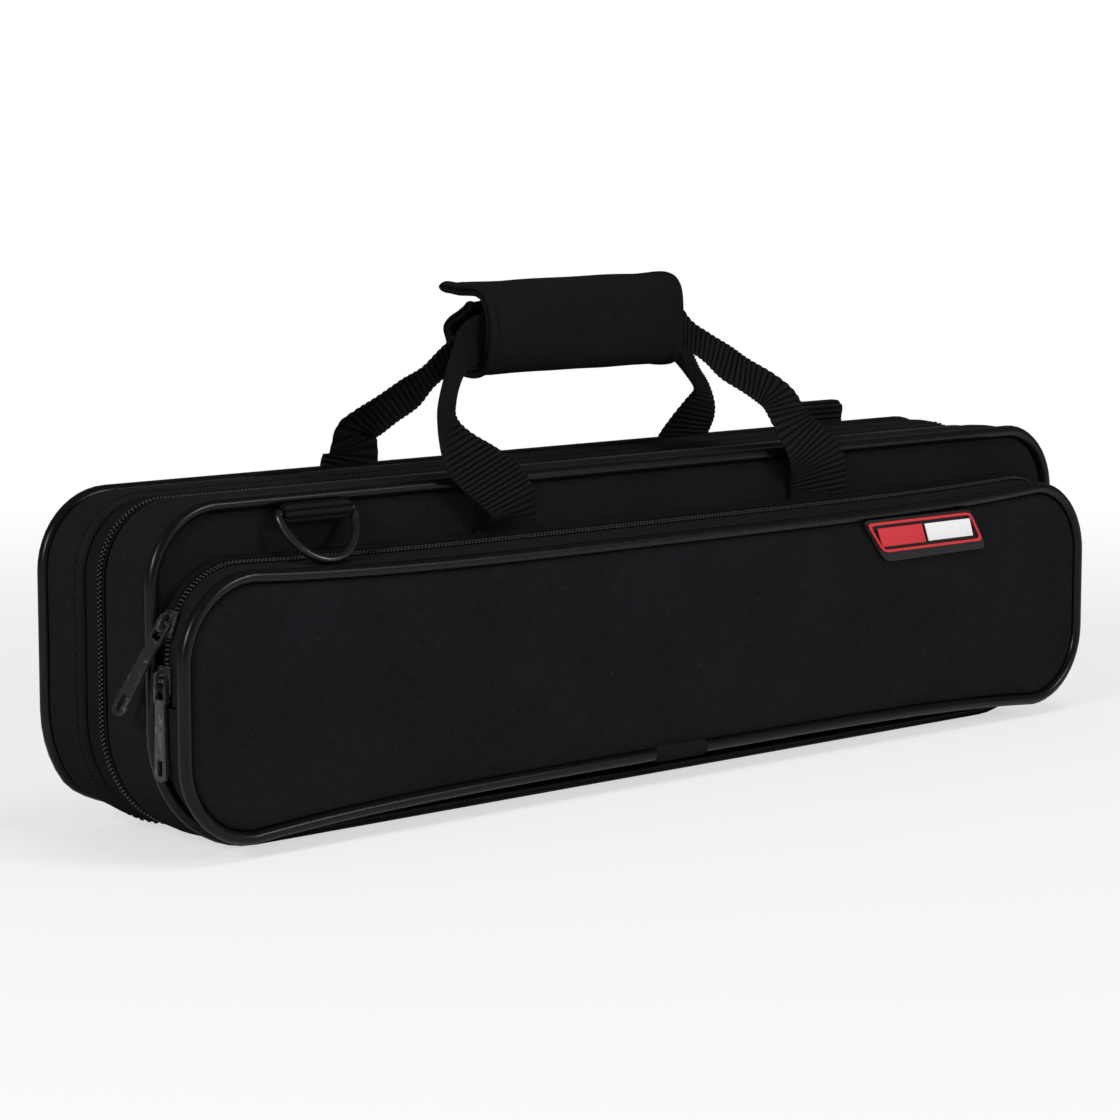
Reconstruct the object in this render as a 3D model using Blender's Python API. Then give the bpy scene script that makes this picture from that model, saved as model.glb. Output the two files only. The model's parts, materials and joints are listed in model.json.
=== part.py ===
"""A soft flute case standing on its long bottom side.

+Z is up, X runs along the case, the zipped pocket faces -Y and the plain back faces +Y.
The lid and the rear half are foam trays closed by a zip round three sides, and a sewn
fabric strip on the bottom is their hinge. Each half carries one webbing strap, and a
padded wrap gathers the two into a grip.
"""

import math

import bmesh
import bpy
from mathutils import Matrix, Vector

MM = 0.001

# The case
CASE_LENGTH = 446 * MM
CASE_HEIGHT = 114.4 * MM
LID_DEPTH = 27.6 * MM
REAR_DEPTH = 31.5 * MM
CORNER_RADIUS = 27 * MM
FOAM_WALL = 9 * MM
FOAM_PANEL = 7.6 * MM
DRAWN_IN = 1.5 * MM
CLEARANCE = 0.3 * MM

# Piping
PIPING_RADIUS = 2.2 * MM
PIPING_SIDES = 8
CORNER_STEPS = 7
LONG_STEPS = 10
SAG_POWER = 4
SMOOTH_ANGLE = math.radians(35)

# Main zip
TAPE_THICKNESS = 0.75 * MM
TAPE_SINK = 0.5 * MM
CHAIN_SINK = 0.1 * MM
CHAIN_WIDTH = 1.4 * MM
REAR_TAPE_WIDTH = 9.5 * MM
LID_TAPE_WIDTH = 2.5 * MM
ZIP_END_INSET = 47 * MM
STRIP_SINK = 0.4 * MM

# Inside
PLUSH_THICKNESS = 3 * MM
INSERT_STEP = 0.9 * MM
CHANNEL_FLOOR = 4.5 * MM
CHANNEL_ROUND = 6 * MM
ROUND_SHARES = ((1, 0), (1 / 3, 1 / 4), (0, 2 / 3))
CHANNEL_CORNER_SHARE = 1 / 3
BODY_CHANNEL_LENGTH = 372 * MM
BODY_CHANNEL_WIDTH = 30 * MM
HEAD_CHANNEL_LENGTH = 232 * MM
HEAD_CHANNEL_WIDTH = 28 * MM
FOOT_CHANNEL_LENGTH = 144 * MM
FOOT_CHANNEL_WIDTH = 32 * MM
ROD_CHANNEL_LENGTH = 336 * MM
ROD_CHANNEL_WIDTH = 9 * MM
CHANNEL_MARGIN = 10 * MM

# Pocket, measured to the centre of its piping
POCKET_DEPTH = 16.8 * MM
POCKET_END_INSET = 2 * MM
POCKET_LOW = 6.9 * MM
POCKET_FROM_TOP = 23.4 * MM
POCKET_CORNER_SHARE = 0.321
POCKET_TOP_SAG = 3.4 * MM
POCKET_BOTTOM_RISE = 4.2 * MM
SEAM_FROM_TOP = 18.8 * MM
SEAM_LOW = 5.8 * MM
SEAM_END_INSET = 5 * MM
SEAM_TOP_SAG = 1.2 * MM
SEAM_BOTTOM_RISE = 3 * MM
GUSSET_THICKNESS = 1 * MM
POCKET_CHAIN_SETBACK = 6.2 * MM
POCKET_CHAIN_WIDTH = 1.3 * MM
POCKET_CHAIN_RISE = 0.5 * MM
STOP_HEIGHT_SHARE = 0.5244
PANEL_THICKNESS = 3.2 * MM
PANEL_CROWN = 1.2 * MM
PANEL_CROWN_WIDTH = 9 * MM
CROWN_EDGE_SHARE = 1 / 3
CROWN_DROP_SHARE = 1 / 4
SLEEVE_LENGTH = 25 * MM
SLEEVE_WALL = 0.6 * MM
SLEEVE_FROM_MIDDLE = 3 * MM
SLEEVE_FROM_DEGREES = 150
SLEEVE_TO_DEGREES = 310
SLEEVE_STEPS = 10
POCKET_HINGE_SETBACK = 4 * MM

# Badge
BADGE_LENGTH = 59 * MM
BADGE_HEIGHT = 14.8 * MM
BADGE_SLANT = 8 * MM
BADGE_THICKNESS = 1.2 * MM
BADGE_FROM_END = 94.5 * MM
BADGE_FROM_TOP = 13.5 * MM
FRAME_HEIGHT = 11.6 * MM
FRAME_RAISE = 0.7 * MM
FRAME_BAR = 1 * MM
STRIPE_HEIGHT = 2.6 * MM
STRIPE_MARGIN = 3 * MM
BADGE_CORNER_SHARE = 0.2

# Webbing handle
WEBBING_WIDTH = 27 * MM
WEBBING_THICKNESS = 1.8 * MM
HANDLE_HALF_SPAN = 90 * MM
HANDLE_RISE = 64 * MM
WRAP_LEFT = -60 * MM
WRAP_RIGHT = 36 * MM
WRAP_THICKNESS = 3 * MM
WRAP_HEIGHT = 33 * MM
WRAP_DEPTH = 25 * MM
WRAP_FRONT = 21.3 * MM
FLAP_THICKNESS = 2.4 * MM
WRAP_EDGE_SHARE = 0.7
STRAP_ROOM = 1 * MM

# Shoulder strap rings
RING_FROM_END = 69 * MM
RING_WIRE_RADIUS = 1.5 * MM
RING_HALF_WIDTH = 16.8 * MM
RING_DROP = 14 * MM
RING_BAR_STEPS = 4
RING_BOW_STEPS = 16
RING_SIDES = 8
FRONT_RING_TILT = math.radians(26)
REAR_RING_TILT = math.radians(14)
TAB_WIDTH = 28 * MM
TAB_THICKNESS = 1.5 * MM
TAB_SEWN_LENGTH = 11 * MM
TAB_LOOP_STEPS = 12
REAR_TAB_RISE = 4.9 * MM

# Zip sliders and pulls
SLIDER_LENGTH = 9 * MM
SLIDER_WIDTH = 6.6 * MM
SLIDER_PLATE = 1.1 * MM
SLIDER_CLEARANCE = 0.5 * MM
FLANGE_THICKNESS = 0.9 * MM
FLANGE_DEPTH = 0.55 * MM
BRIDGE_LENGTH = 6.4 * MM
BRIDGE_WIDTH = 1.2 * MM
BRIDGE_RISE = 3 * MM
BRIDGE_BAR = 1 * MM
PULL_LENGTH = 28 * MM
PULL_WIDTH = 5 * MM
PULL_THICKNESS = 1.1 * MM
PULL_TAPER_SHARE = 0.78
EYE_LENGTH = 4.6 * MM
EYE_WIDTH = 3.4 * MM
EYE_BAR = 1.1 * MM
SLOT_LENGTH = 4.2 * MM
SLOT_WIDTH = 1.9 * MM
SLOT_MARGIN = 1.6 * MM
TIP_DEGREES = 18
TIP_STEPS = 6
UPPER_SLIDER_TILT = math.radians(21)
LOWER_SLIDER_RISE = 8.5 * MM
MAIN_SLIDERS_FROM_TOP = 58.4 * MM
MAIN_SLIDER_SPACING = 36 * MM
PULL_LEAN = math.radians(16)
PULL_LIFT = math.radians(22)
MAIN_PULL_LIFT = math.radians(8)

OVERRUN = 2 * MM
STEPS_PER_SPAN = 3

# Planes across the depth, with Y zero at the middle of the whole object
LOOP_RADIUS = RING_WIRE_RADIUS + CLEARANCE + TAB_THICKNESS / 2
BADGE_STACK = CLEARANCE + BADGE_THICKNESS + CLEARANCE + FRAME_RAISE
FRONT_REACH = LID_DEPTH + POCKET_DEPTH + PANEL_CROWN + BADGE_STACK
REAR_RING_SETBACK = PIPING_RADIUS + CLEARANCE + TAB_THICKNESS / 2 + LOOP_RADIUS
BACK_REACH = REAR_DEPTH + REAR_RING_SETBACK + LOOP_RADIUS + TAB_THICKNESS / 2
ZIP_Y = (FRONT_REACH - BACK_REACH) / 2
LID_Y = ZIP_Y - LID_DEPTH
REAR_Y = ZIP_Y + REAR_DEPTH
POCKET_Y = LID_Y - POCKET_DEPTH
SHELL_DEPTH = LID_DEPTH + REAR_DEPTH

# Planes of the foam shells
PANEL_INSET = 2 * PIPING_RADIUS + CLEARANCE
PANEL_SETBACK = 0.2 * MM
REBATE_SETBACK = PIPING_RADIUS + 2 * CLEARANCE
RIM_GAP = 0.5 * MM
TAPE_REBATE = TAPE_SINK + TAPE_THICKNESS + CLEARANCE
SHELL_HALF = CASE_LENGTH / 2 - DRAWN_IN
SHELL_TOP = CASE_HEIGHT - DRAWN_IN
POCKET_HIGH = CASE_HEIGHT - POCKET_FROM_TOP
SEAM_HIGH = CASE_HEIGHT - SEAM_FROM_TOP
POCKET_RADIUS = POCKET_CORNER_SHARE * (POCKET_HIGH - POCKET_LOW)
ZIP_STOP_HEIGHT = POCKET_LOW + STOP_HEIGHT_SHARE * (POCKET_HIGH - POCKET_LOW)
ZIP_END = CASE_LENGTH / 2 - ZIP_END_INSET
RING_FROM_MIDDLE = CASE_LENGTH / 2 - RING_FROM_END
LOWER_SLIDER_HEIGHT = ZIP_STOP_HEIGHT + LOWER_SLIDER_RISE
MAIN_SLIDER_HEIGHT = CASE_HEIGHT - MAIN_SLIDERS_FROM_TOP

# Places of the moving pieces
LID_AXIS = Vector((0, ZIP_Y, 0))
POCKET_AXIS = Vector((0, POCKET_Y + POCKET_HINGE_SETBACK, POCKET_LOW))
TAB_LEG_Y = LID_Y - CLEARANCE - TAB_THICKNESS / 2
FRONT_RING_Z = CASE_HEIGHT - 2 * PIPING_RADIUS - 2 * CLEARANCE - TAB_THICKNESS
FRONT_RING_AXIS = Vector((-RING_FROM_MIDDLE, TAB_LEG_Y - LOOP_RADIUS, FRONT_RING_Z))
REAR_RING_AXIS = Vector(
    (RING_FROM_MIDDLE, REAR_Y + REAR_RING_SETBACK, CASE_HEIGHT + REAR_TAB_RISE)
)
WRAP_TOP = CASE_HEIGHT + HANDLE_RISE
WRAP_BASE = WRAP_TOP - WRAP_HEIGHT
WRAP_EDGE_Y = LID_Y + WRAP_FRONT + WRAP_THICKNESS / 2
WRAP_EDGE_Y += WRAP_EDGE_SHARE * (WRAP_DEPTH - WRAP_THICKNESS)
FLAP_EDGE_SHARE = WRAP_EDGE_SHARE + CLEARANCE / (WRAP_DEPTH - WRAP_THICKNESS)
FLAP_AXIS = Vector(
    ((WRAP_LEFT + WRAP_RIGHT) / 2, WRAP_EDGE_Y + CLEARANCE / 2, WRAP_BASE)
)

COLOURS = {
    "fabric": ((0.012, 0.011, 0.014), 0.9, 0),
    "plush": ((0.03, 0.03, 0.035), 1, 0),
    "piping": ((0.014, 0.014, 0.014), 0.3, 0),
    "webbing": ((0.011, 0.011, 0.012), 0.8, 0),
    "zip_tape": ((0.012, 0.012, 0.014), 0.8, 0),
    "zip_metal": ((0.03, 0.03, 0.032), 0.35, 0.6),
    "ring_metal": ((0.02, 0.02, 0.021), 0.3, 0.7),
    "badge_black": ((0.01, 0.01, 0.01), 0.6, 0),
    "badge_red": ((0.6, 0.02, 0.03), 0.5, 0),
    "badge_white": ((0.85, 0.85, 0.85), 0.5, 0),
}


def clear_scene():
    for obj in list(bpy.data.objects):
        bpy.data.objects.remove(obj, do_unlink=True)


def material(name):
    """The Principled material of this name, made once."""
    made = bpy.data.materials.get(name)
    if made:
        return made
    made = bpy.data.materials.new(name)
    made.use_nodes = True
    shader = made.node_tree.nodes["Principled BSDF"]
    colour, roughness, metallic = COLOURS[name]
    shader.inputs["Base Color"].default_value = (*colour, 1)
    shader.inputs["Roughness"].default_value = roughness
    shader.inputs["Metallic"].default_value = metallic
    return made


def axis_empty(name, place, parent=None):
    """An empty on a joint's axis, which carries the pieces that turn or slide there."""
    empty = bpy.data.objects.new(name, None)
    bpy.context.scene.collection.objects.link(empty)
    if parent:
        empty.parent = parent
        place = place - world_place(parent)
    empty.location = place
    return empty


def world_place(empty):
    place = Vector(empty.location)
    while empty.parent:
        empty = empty.parent
        place += empty.location
    return place


def make_object(name, bm, colour, carrier):
    """Turns a mesh built in world space into the named object, carried by an empty."""
    mesh = bpy.data.meshes.new(name)
    bmesh.ops.translate(bm, verts=bm.verts, vec=-world_place(carrier))
    bmesh.ops.recalc_face_normals(bm, faces=bm.faces)
    bm.to_mesh(mesh)
    bm.free()
    mesh.shade_smooth()
    mesh.set_sharp_from_angle(angle=SMOOTH_ANGLE)
    mesh.materials.append(material(colour))
    obj = bpy.data.objects.new(name, mesh)
    bpy.context.scene.collection.objects.link(obj)
    obj.parent = carrier
    return obj


def ring_edges(bm, verts):
    return [bm.edges.new((verts[i - 1], verts[i])) for i in range(len(verts))]


def extruded(bm, verts, edges, points):
    """Extrudes a ring of edges and moves it to new points, which keep its order."""
    made = bmesh.ops.extrude_edge_only(bm, edges=edges)["geom"]
    fresh = {item for item in made if isinstance(item, bmesh.types.BMVert)}
    moved = []
    for vert, point in zip(verts, points):
        twins = {edge.other_vert(vert) for edge in vert.link_edges} & fresh
        twin = twins.pop()
        twin.co = point
        moved.append(twin)
    loop = []
    for item in made:
        if isinstance(item, bmesh.types.BMEdge) and fresh.issuperset(item.verts):
            loop.append(item)
    return moved, loop


def loft(rings, closed=False):
    """Extrudes a ring through others in order. An open loft gets a cap at each end."""
    bm = bmesh.new()
    verts = [bm.verts.new(point) for point in rings[0]]
    first = ring_edges(bm, verts)
    edges = first
    for ring in rings[1:]:
        verts, edges = extruded(bm, verts, edges, ring)
    if closed:
        bmesh.ops.bridge_loops(bm, edges=first + edges)
    else:
        bmesh.ops.contextual_create(bm, geom=first)
        bmesh.ops.contextual_create(bm, geom=edges)
    bmesh.ops.recalc_face_normals(bm, faces=bm.faces)
    return bm


def carve(body, others, operation):
    """The body after an exact Boolean with each of the other meshes."""
    made = []
    for index, bm in enumerate([body, *others]):
        bmesh.ops.recalc_face_normals(bm, faces=bm.faces)
        mesh = bpy.data.meshes.new(f"carve_{index}")
        bm.to_mesh(mesh)
        bm.free()
        obj = bpy.data.objects.new(f"carve_{index}", mesh)
        bpy.context.scene.collection.objects.link(obj)
        made.append(obj)
    for other in made[1:]:
        modifier = made[0].modifiers.new(other.name, "BOOLEAN")
        modifier.operation = operation
        modifier.solver = "EXACT"
        modifier.object = other
    graph = bpy.context.evaluated_depsgraph_get()
    result = bmesh.new()
    result.from_object(made[0], graph)
    for obj in made:
        bpy.data.objects.remove(obj, do_unlink=True)
    return result


def box(low, high):
    """A block between two corners."""
    bm = bmesh.new()
    bmesh.ops.create_cube(bm, size=1)
    low = Vector(low)
    high = Vector(high)
    for vert in bm.verts:
        vert.co = (low + high) / 2 + Vector(a * b for a, b in zip(vert.co, high - low))
    return bm


def corner(half, low, high, radius, index):
    """The points of one corner: bottom left, top left, top right, bottom right."""
    side = (-1, -1, 1, 1)[index]
    centre_x = side * (half - radius)
    centre_z = (low + radius, high - radius, high - radius, low + radius)[index]
    start = (270, 180, 90, 0)[index]
    points = []
    for step in range(CORNER_STEPS + 1):
        angle = math.radians(start - 90 * step / CORNER_STEPS)
        points.append(
            (centre_x + radius * math.cos(angle), centre_z + radius * math.sin(angle))
        )
    return points


def long_run(x_from, x_to, z, sag):
    """Points between two corners along the top or the bottom, sagging in the middle."""
    reach = max(abs(x_from), abs(x_to))
    points = []
    for step in range(1, LONG_STEPS):
        x = x_from + (x_to - x_from) * step / LONG_STEPS
        points.append((x, z - sag * (1 - abs(x / reach) ** SAG_POWER)))
    return points


def outline(half, low, high, radius, top_sag=0, bottom_rise=0):
    """A closed rounded rectangle in X and Z, clockwise from the front."""
    corners = [corner(half, low, high, radius, i) for i in range(4)]
    inner = half - radius
    return [
        *corners[0],
        *corners[1],
        *long_run(-inner, inner, high, top_sag),
        *corners[2],
        *corners[3],
        *long_run(inner, -inner, low, -bottom_rise),
    ]


def at_depth(points, y):
    return [(x, y, z) for x, z in points]


def shell_outline(depth):
    """The shells' outline, this far below their outer surface."""
    return outline(
        SHELL_HALF - depth, depth, SHELL_TOP - depth, CORNER_RADIUS - DRAWN_IN - depth
    )


def case_outline(inset):
    """The outline that the piping's outside follows, inset by this much."""
    return outline(
        CASE_LENGTH / 2 - inset, inset, CASE_HEIGHT - inset, CORNER_RADIUS - inset
    )


def zip_path(depth):
    """The main zip's way round three sides, from the bottom up the left end and over."""
    half = SHELL_HALF - depth
    top = SHELL_TOP - depth
    radius = CORNER_RADIUS - DRAWN_IN - depth
    points = [(-ZIP_END, depth)]
    for index in range(4):
        points += corner(half, depth, top, radius, index)
    return [*points, (ZIP_END, depth)]


def pocket_sizes(y, inset):
    """Half length, bottom, top, radius and sags of the pocket's wall at this depth."""
    share = (y - POCKET_Y) / POCKET_DEPTH
    half = CASE_LENGTH / 2 - POCKET_END_INSET
    seam_half = CASE_LENGTH / 2 - SEAM_END_INSET
    return (
        half + (seam_half - half) * share - inset,
        POCKET_LOW + (SEAM_LOW - POCKET_LOW) * share + inset,
        POCKET_HIGH + (SEAM_HIGH - POCKET_HIGH) * share - inset,
        POCKET_RADIUS - inset,
        POCKET_TOP_SAG + (SEAM_TOP_SAG - POCKET_TOP_SAG) * share,
        POCKET_BOTTOM_RISE + (SEAM_BOTTOM_RISE - POCKET_BOTTOM_RISE) * share,
    )


def pocket_outline(y, inset):
    return outline(*pocket_sizes(y, inset))


def upper_pocket_path(y, inset):
    """Round the pocket's top, from one zip stop to the other."""
    half, low, high, radius, sag, _ = pocket_sizes(y, inset)
    inner = half - radius
    return [
        (-half, ZIP_STOP_HEIGHT),
        *corner(half, low, high, radius, 1),
        *long_run(-inner, inner, high, sag),
        *corner(half, low, high, radius, 2),
        (half, ZIP_STOP_HEIGHT),
    ]


def lower_pocket_path(y, inset):
    """Round the pocket's bottom, from one zip stop to the other."""
    half, low, high, radius, _, rise = pocket_sizes(y, inset)
    inner = half - radius
    stop = ZIP_STOP_HEIGHT - CLEARANCE
    return [
        (half, stop),
        *corner(half, low, high, radius, 3),
        *long_run(inner, -inner, low, -rise),
        *corner(half, low, high, radius, 0),
        (-half, stop),
    ]


def band(path, section):
    """Sweeps a section of (y, depth) points along a path that depends on the two."""
    runs = [at_depth(path(y, depth), y) for y, depth in section]
    return loft([list(ring) for ring in zip(*runs)])


def swept_tube(path, radius, sides, closed):
    """A round bar along a path of points."""
    rings = []
    count = len(path)
    for index, point in enumerate(path):
        before = path[index - 1] if closed or index else point
        after = path[(index + 1) % count] if closed or index < count - 1 else point
        along = (Vector(after) - Vector(before)).normalized()
        side = Vector((0, 1, 0)).cross(along).normalized()
        across = along.cross(side)
        ring = []
        for step in range(sides):
            angle = 2 * math.pi * step / sides
            ring.append(
                Vector(point)
                + radius * (math.cos(angle) * side + math.sin(angle) * across)
            )
        rings.append(ring)
    return loft(rings, closed)


def spline(rows, steps):
    """A smooth run through rows of numbers, with this many steps between two rows."""
    rows = [rows[0], *rows, rows[-1]]
    made = []
    for a, b, c, d in zip(rows, rows[1:], rows[2:], rows[3:]):
        for step in range(steps):
            t = step / steps
            made.append(
                tuple(
                    q
                    + t * (r - p) / 2
                    + t * t * (2 * p - 5 * q + 4 * r - s) / 2
                    + t * t * t * (3 * q - p - 3 * r + s) / 2
                    for p, q, r, s in zip(a, b, c, d)
                )
            )
    return [*made, rows[-1]]


def ribbon(stations):
    """Webbing through stations of a place, the way its width runs and a width share."""
    rows = [(*place, *Vector(way).normalized(), share) for place, way, share in stations]
    rows = spline(rows, STEPS_PER_SPAN)
    places = [Vector(row[:3]) for row in rows]
    rings = []
    for index, row in enumerate(rows):
        before = places[max(index - 1, 0)]
        after = places[min(index + 1, len(rows) - 1)]
        along = (after - before).normalized()
        way = Vector(row[3:6]).normalized()
        side = way * WEBBING_WIDTH * row[6] / 2
        lift = along.cross(way).normalized() * WEBBING_THICKNESS / 2
        centre = places[index]
        rings.append(
            [
                centre - side - lift,
                centre + side - lift,
                centre + side + lift,
                centre - side + lift,
            ]
        )
    return loft(rings)


def thick_strip(path, thickness, x_from, x_to):
    """A strip of cloth bent along a path of (y, z) points and as wide as two X places."""
    near = []
    far = []
    for index, point in enumerate(path):
        before = Vector(path[max(index - 1, 0)])
        after = Vector(path[min(index + 1, len(path) - 1)])
        along = (after - before).normalized()
        side = Vector((-along.y, along.x)) * thickness / 2
        near.append(Vector(point) + side)
        far.append(Vector(point) - side)
    ring = near + far[::-1]
    return loft([[(x, y, z) for y, z in ring] for x in (x_from, x_to)])


def arc(centre, radius, start, end, steps):
    """Points (y, z) on an arc, its angles in degrees from +Y towards +Z."""
    points = []
    for step in range(steps + 1):
        angle = math.radians(start + (end - start) * step / steps)
        points.append(
            (
                centre[0] + radius * math.cos(angle),
                centre[1] + radius * math.sin(angle),
            )
        )
    return points


def foam_shell(name, face, tape_width, outward, carrier):
    """A tray: a flat panel with a rebate for its piping, four walls and a stepped rim."""
    panel = face - outward * PANEL_SETBACK
    rebate = face - outward * REBATE_SETBACK
    floor = panel - outward * FOAM_PANEL
    rim = ZIP_Y + outward * RIM_GAP
    tape_edge = ZIP_Y + outward * (tape_width + CLEARANCE)
    rings = [
        at_depth(case_outline(PANEL_INSET), panel),
        at_depth(case_outline(PANEL_INSET), rebate),
        at_depth(shell_outline(0), rebate),
        at_depth(shell_outline(0), tape_edge),
        at_depth(shell_outline(TAPE_REBATE), tape_edge),
        at_depth(shell_outline(TAPE_REBATE), rim),
        at_depth(shell_outline(FOAM_WALL), rim),
        at_depth(shell_outline(FOAM_WALL), floor),
    ]
    make_object(name, loft(rings), "fabric", carrier)


def case_piping(name, y, carrier):
    path = at_depth(case_outline(PIPING_RADIUS), y)
    make_object(
        name, swept_tube(path, PIPING_RADIUS, PIPING_SIDES, True), "piping", carrier
    )


def zip_half(name, edge, tape_width, away, carrier):
    """One half of the main zip: a tape with the chain's half along its meeting edge."""
    meet = edge + away * CLEARANCE / 2
    chain_end = meet + away * CHAIN_WIDTH
    tape_end = meet + away * tape_width
    under = TAPE_SINK + TAPE_THICKNESS
    section = [
        (tape_end, TAPE_SINK),
        (chain_end, TAPE_SINK),
        (chain_end, CHAIN_SINK),
        (meet, CHAIN_SINK),
        (meet, under),
        (tape_end, under),
    ]
    bm = band(lambda y, depth: zip_path(depth), section)
    make_object(name, bm, "zip_tape", carrier)


def hinge_strip(carrier):
    """The sewn fabric strip under the two rims, between the ends of the zip."""
    end = ZIP_END - CLEARANCE
    low = (-end, ZIP_Y - LID_TAPE_WIDTH, STRIP_SINK)
    high = (end, ZIP_Y + REAR_TAPE_WIDTH, STRIP_SINK + TAPE_THICKNESS)
    make_object("hinge_strip", box(low, high), "fabric", carrier)


def channel(x_from, length, z_middle, width, face, floor):
    """A cutter for one channel: straight walls and a rounded floor."""
    half = length / 2
    middle = x_from + half
    levels = [(face - OVERRUN, 0)]
    for above_share, inset_share in ROUND_SHARES:
        levels.append((floor - above_share * CHANNEL_ROUND, inset_share * CHANNEL_ROUND))
    rings = []
    for y, inset in levels:
        points = outline(
            half - inset,
            z_middle - width / 2 + inset,
            z_middle + width / 2 - inset,
            min(width / 2 - inset, width * CHANNEL_CORNER_SHARE),
        )
        rings.append([(middle + x, y, z) for x, z in points])
    return loft(rings)


def insert(carrier):
    """The moulded foam block that holds the flute's three joints and its rod."""
    depth = FOAM_WALL + CLEARANCE
    back = REAR_Y - PANEL_SETBACK - FOAM_PANEL - CLEARANCE
    face = ZIP_Y + INSERT_STEP
    low = shell_outline(depth)
    block = loft([at_depth(low, face), at_depth(low, back)])
    half = SHELL_HALF - depth
    bottom = depth
    top = SHELL_TOP - depth
    floor = back - CHANNEL_FLOOR
    left = -half + CHANNEL_MARGIN
    right = half - CHANNEL_MARGIN
    body_z = top - CHANNEL_MARGIN - BODY_CHANNEL_WIDTH / 2
    head_z = bottom + CHANNEL_MARGIN + HEAD_CHANNEL_WIDTH / 2
    foot_z = bottom + CHANNEL_MARGIN + FOOT_CHANNEL_WIDTH / 2
    rib_low = max(head_z + HEAD_CHANNEL_WIDTH / 2, foot_z + FOOT_CHANNEL_WIDTH / 2)
    rod_z = (rib_low + body_z - BODY_CHANNEL_WIDTH / 2) / 2
    cutters = [
        channel(left, BODY_CHANNEL_LENGTH, body_z, BODY_CHANNEL_WIDTH, face, floor),
        channel(left, HEAD_CHANNEL_LENGTH, head_z, HEAD_CHANNEL_WIDTH, face, floor),
        channel(
            right - FOOT_CHANNEL_LENGTH,
            FOOT_CHANNEL_LENGTH,
            foot_z,
            FOOT_CHANNEL_WIDTH,
            face,
            floor,
        ),
        channel(left, ROD_CHANNEL_LENGTH, rod_z, ROD_CHANNEL_WIDTH, face, floor),
    ]
    make_object("flute_insert", carve(block, cutters, "DIFFERENCE"), "plush", carrier)


def lid_lining(carrier):
    """The thin plush pad that lines the lid's panel."""
    points = shell_outline(FOAM_WALL + CLEARANCE)
    back = LID_Y + PANEL_SETBACK + FOAM_PANEL + CLEARANCE
    bm = loft([at_depth(points, back), at_depth(points, back + PLUSH_THICKNESS)])
    make_object("lid_lining", bm, "plush", carrier)


def pocket_gussets(lid, front):
    """The pocket's walls: a tape on the lid, a band on the front and a plain fold."""
    seam = LID_Y - CLEARANCE
    chain = LID_Y - POCKET_CHAIN_SETBACK
    meet = CLEARANCE / 2
    thick = GUSSET_THICKNESS
    piping = POCKET_Y + PIPING_RADIUS + CLEARANCE
    rear_section = [
        (seam, 0),
        (chain + meet + POCKET_CHAIN_WIDTH, 0),
        (chain + meet + POCKET_CHAIN_WIDTH, -POCKET_CHAIN_RISE),
        (chain + meet, -POCKET_CHAIN_RISE),
        (chain + meet, thick),
        (seam, thick),
    ]
    front_section = [
        (piping, 0),
        (chain - meet - POCKET_CHAIN_WIDTH, 0),
        (chain - meet - POCKET_CHAIN_WIDTH, -POCKET_CHAIN_RISE),
        (chain - meet, -POCKET_CHAIN_RISE),
        (chain - meet, thick),
        (piping, thick),
    ]
    fold_section = [(piping, 0), (seam, 0), (seam, thick), (piping, thick)]
    make_object(
        "pocket_zip_rear_half", band(upper_pocket_path, rear_section), "zip_tape", lid
    )
    make_object(
        "pocket_zip_front_half", band(upper_pocket_path, front_section), "fabric", front
    )
    make_object(
        "pocket_gusset_fold", band(lower_pocket_path, fold_section), "fabric", lid
    )


def pocket_front(carrier):
    """The pocket's padded front panel, its piping and the sleeve over the joint."""
    edge = PIPING_RADIUS + CLEARANCE
    crowned = POCKET_Y - PANEL_CROWN
    back = crowned + PANEL_THICKNESS
    rings = [
        at_depth(pocket_outline(POCKET_Y, edge + PANEL_CROWN_WIDTH), crowned),
        at_depth(
            pocket_outline(POCKET_Y, edge + PANEL_CROWN_WIDTH * CROWN_EDGE_SHARE),
            crowned + PANEL_CROWN * CROWN_DROP_SHARE,
        ),
        at_depth(pocket_outline(POCKET_Y, edge), POCKET_Y),
        at_depth(pocket_outline(POCKET_Y, edge), back),
    ]
    make_object("pocket_panel", loft(rings), "fabric", carrier)
    path = at_depth(pocket_outline(POCKET_Y, 0), POCKET_Y)
    tube = swept_tube(path, PIPING_RADIUS, PIPING_SIDES, True)
    make_object("pocket_piping", tube, "piping", carrier)
    inner = PIPING_RADIUS + CLEARANCE
    outer = inner + SLEEVE_WALL
    centre = (POCKET_Y, POCKET_LOW + POCKET_BOTTOM_RISE)
    start = SLEEVE_FROM_DEGREES
    end = SLEEVE_TO_DEGREES
    ring = arc(centre, outer, start, end, SLEEVE_STEPS)
    ring += arc(centre, inner, end, start, SLEEVE_STEPS)
    left = -SLEEVE_FROM_MIDDLE - SLEEVE_LENGTH / 2
    right = -SLEEVE_FROM_MIDDLE + SLEEVE_LENGTH / 2
    sleeve = loft([[(x, y, z) for y, z in ring] for x in (left, right)])
    make_object("piping_sleeve", sleeve, "fabric", carrier)


def slanted(x_middle, z_middle, length, height):
    """A parallelogram in X and Z with clipped corners."""
    lean = BADGE_SLANT * height / BADGE_HEIGHT / 2
    corners = [
        Vector((x_middle - length / 2 + lean, z_middle - height / 2)),
        Vector((x_middle + length / 2 + lean, z_middle - height / 2)),
        Vector((x_middle + length / 2 - lean, z_middle + height / 2)),
        Vector((x_middle - length / 2 - lean, z_middle + height / 2)),
    ]
    clip = height * BADGE_CORNER_SHARE
    points = []
    for index, place in enumerate(corners):
        before = (corners[index - 1] - place).normalized()
        after = (corners[(index + 1) % 4] - place).normalized()
        points.append(place + before * clip)
        points.append(place + (before + after) * clip / 4)
        points.append(place + after * clip)
    return points


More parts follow.
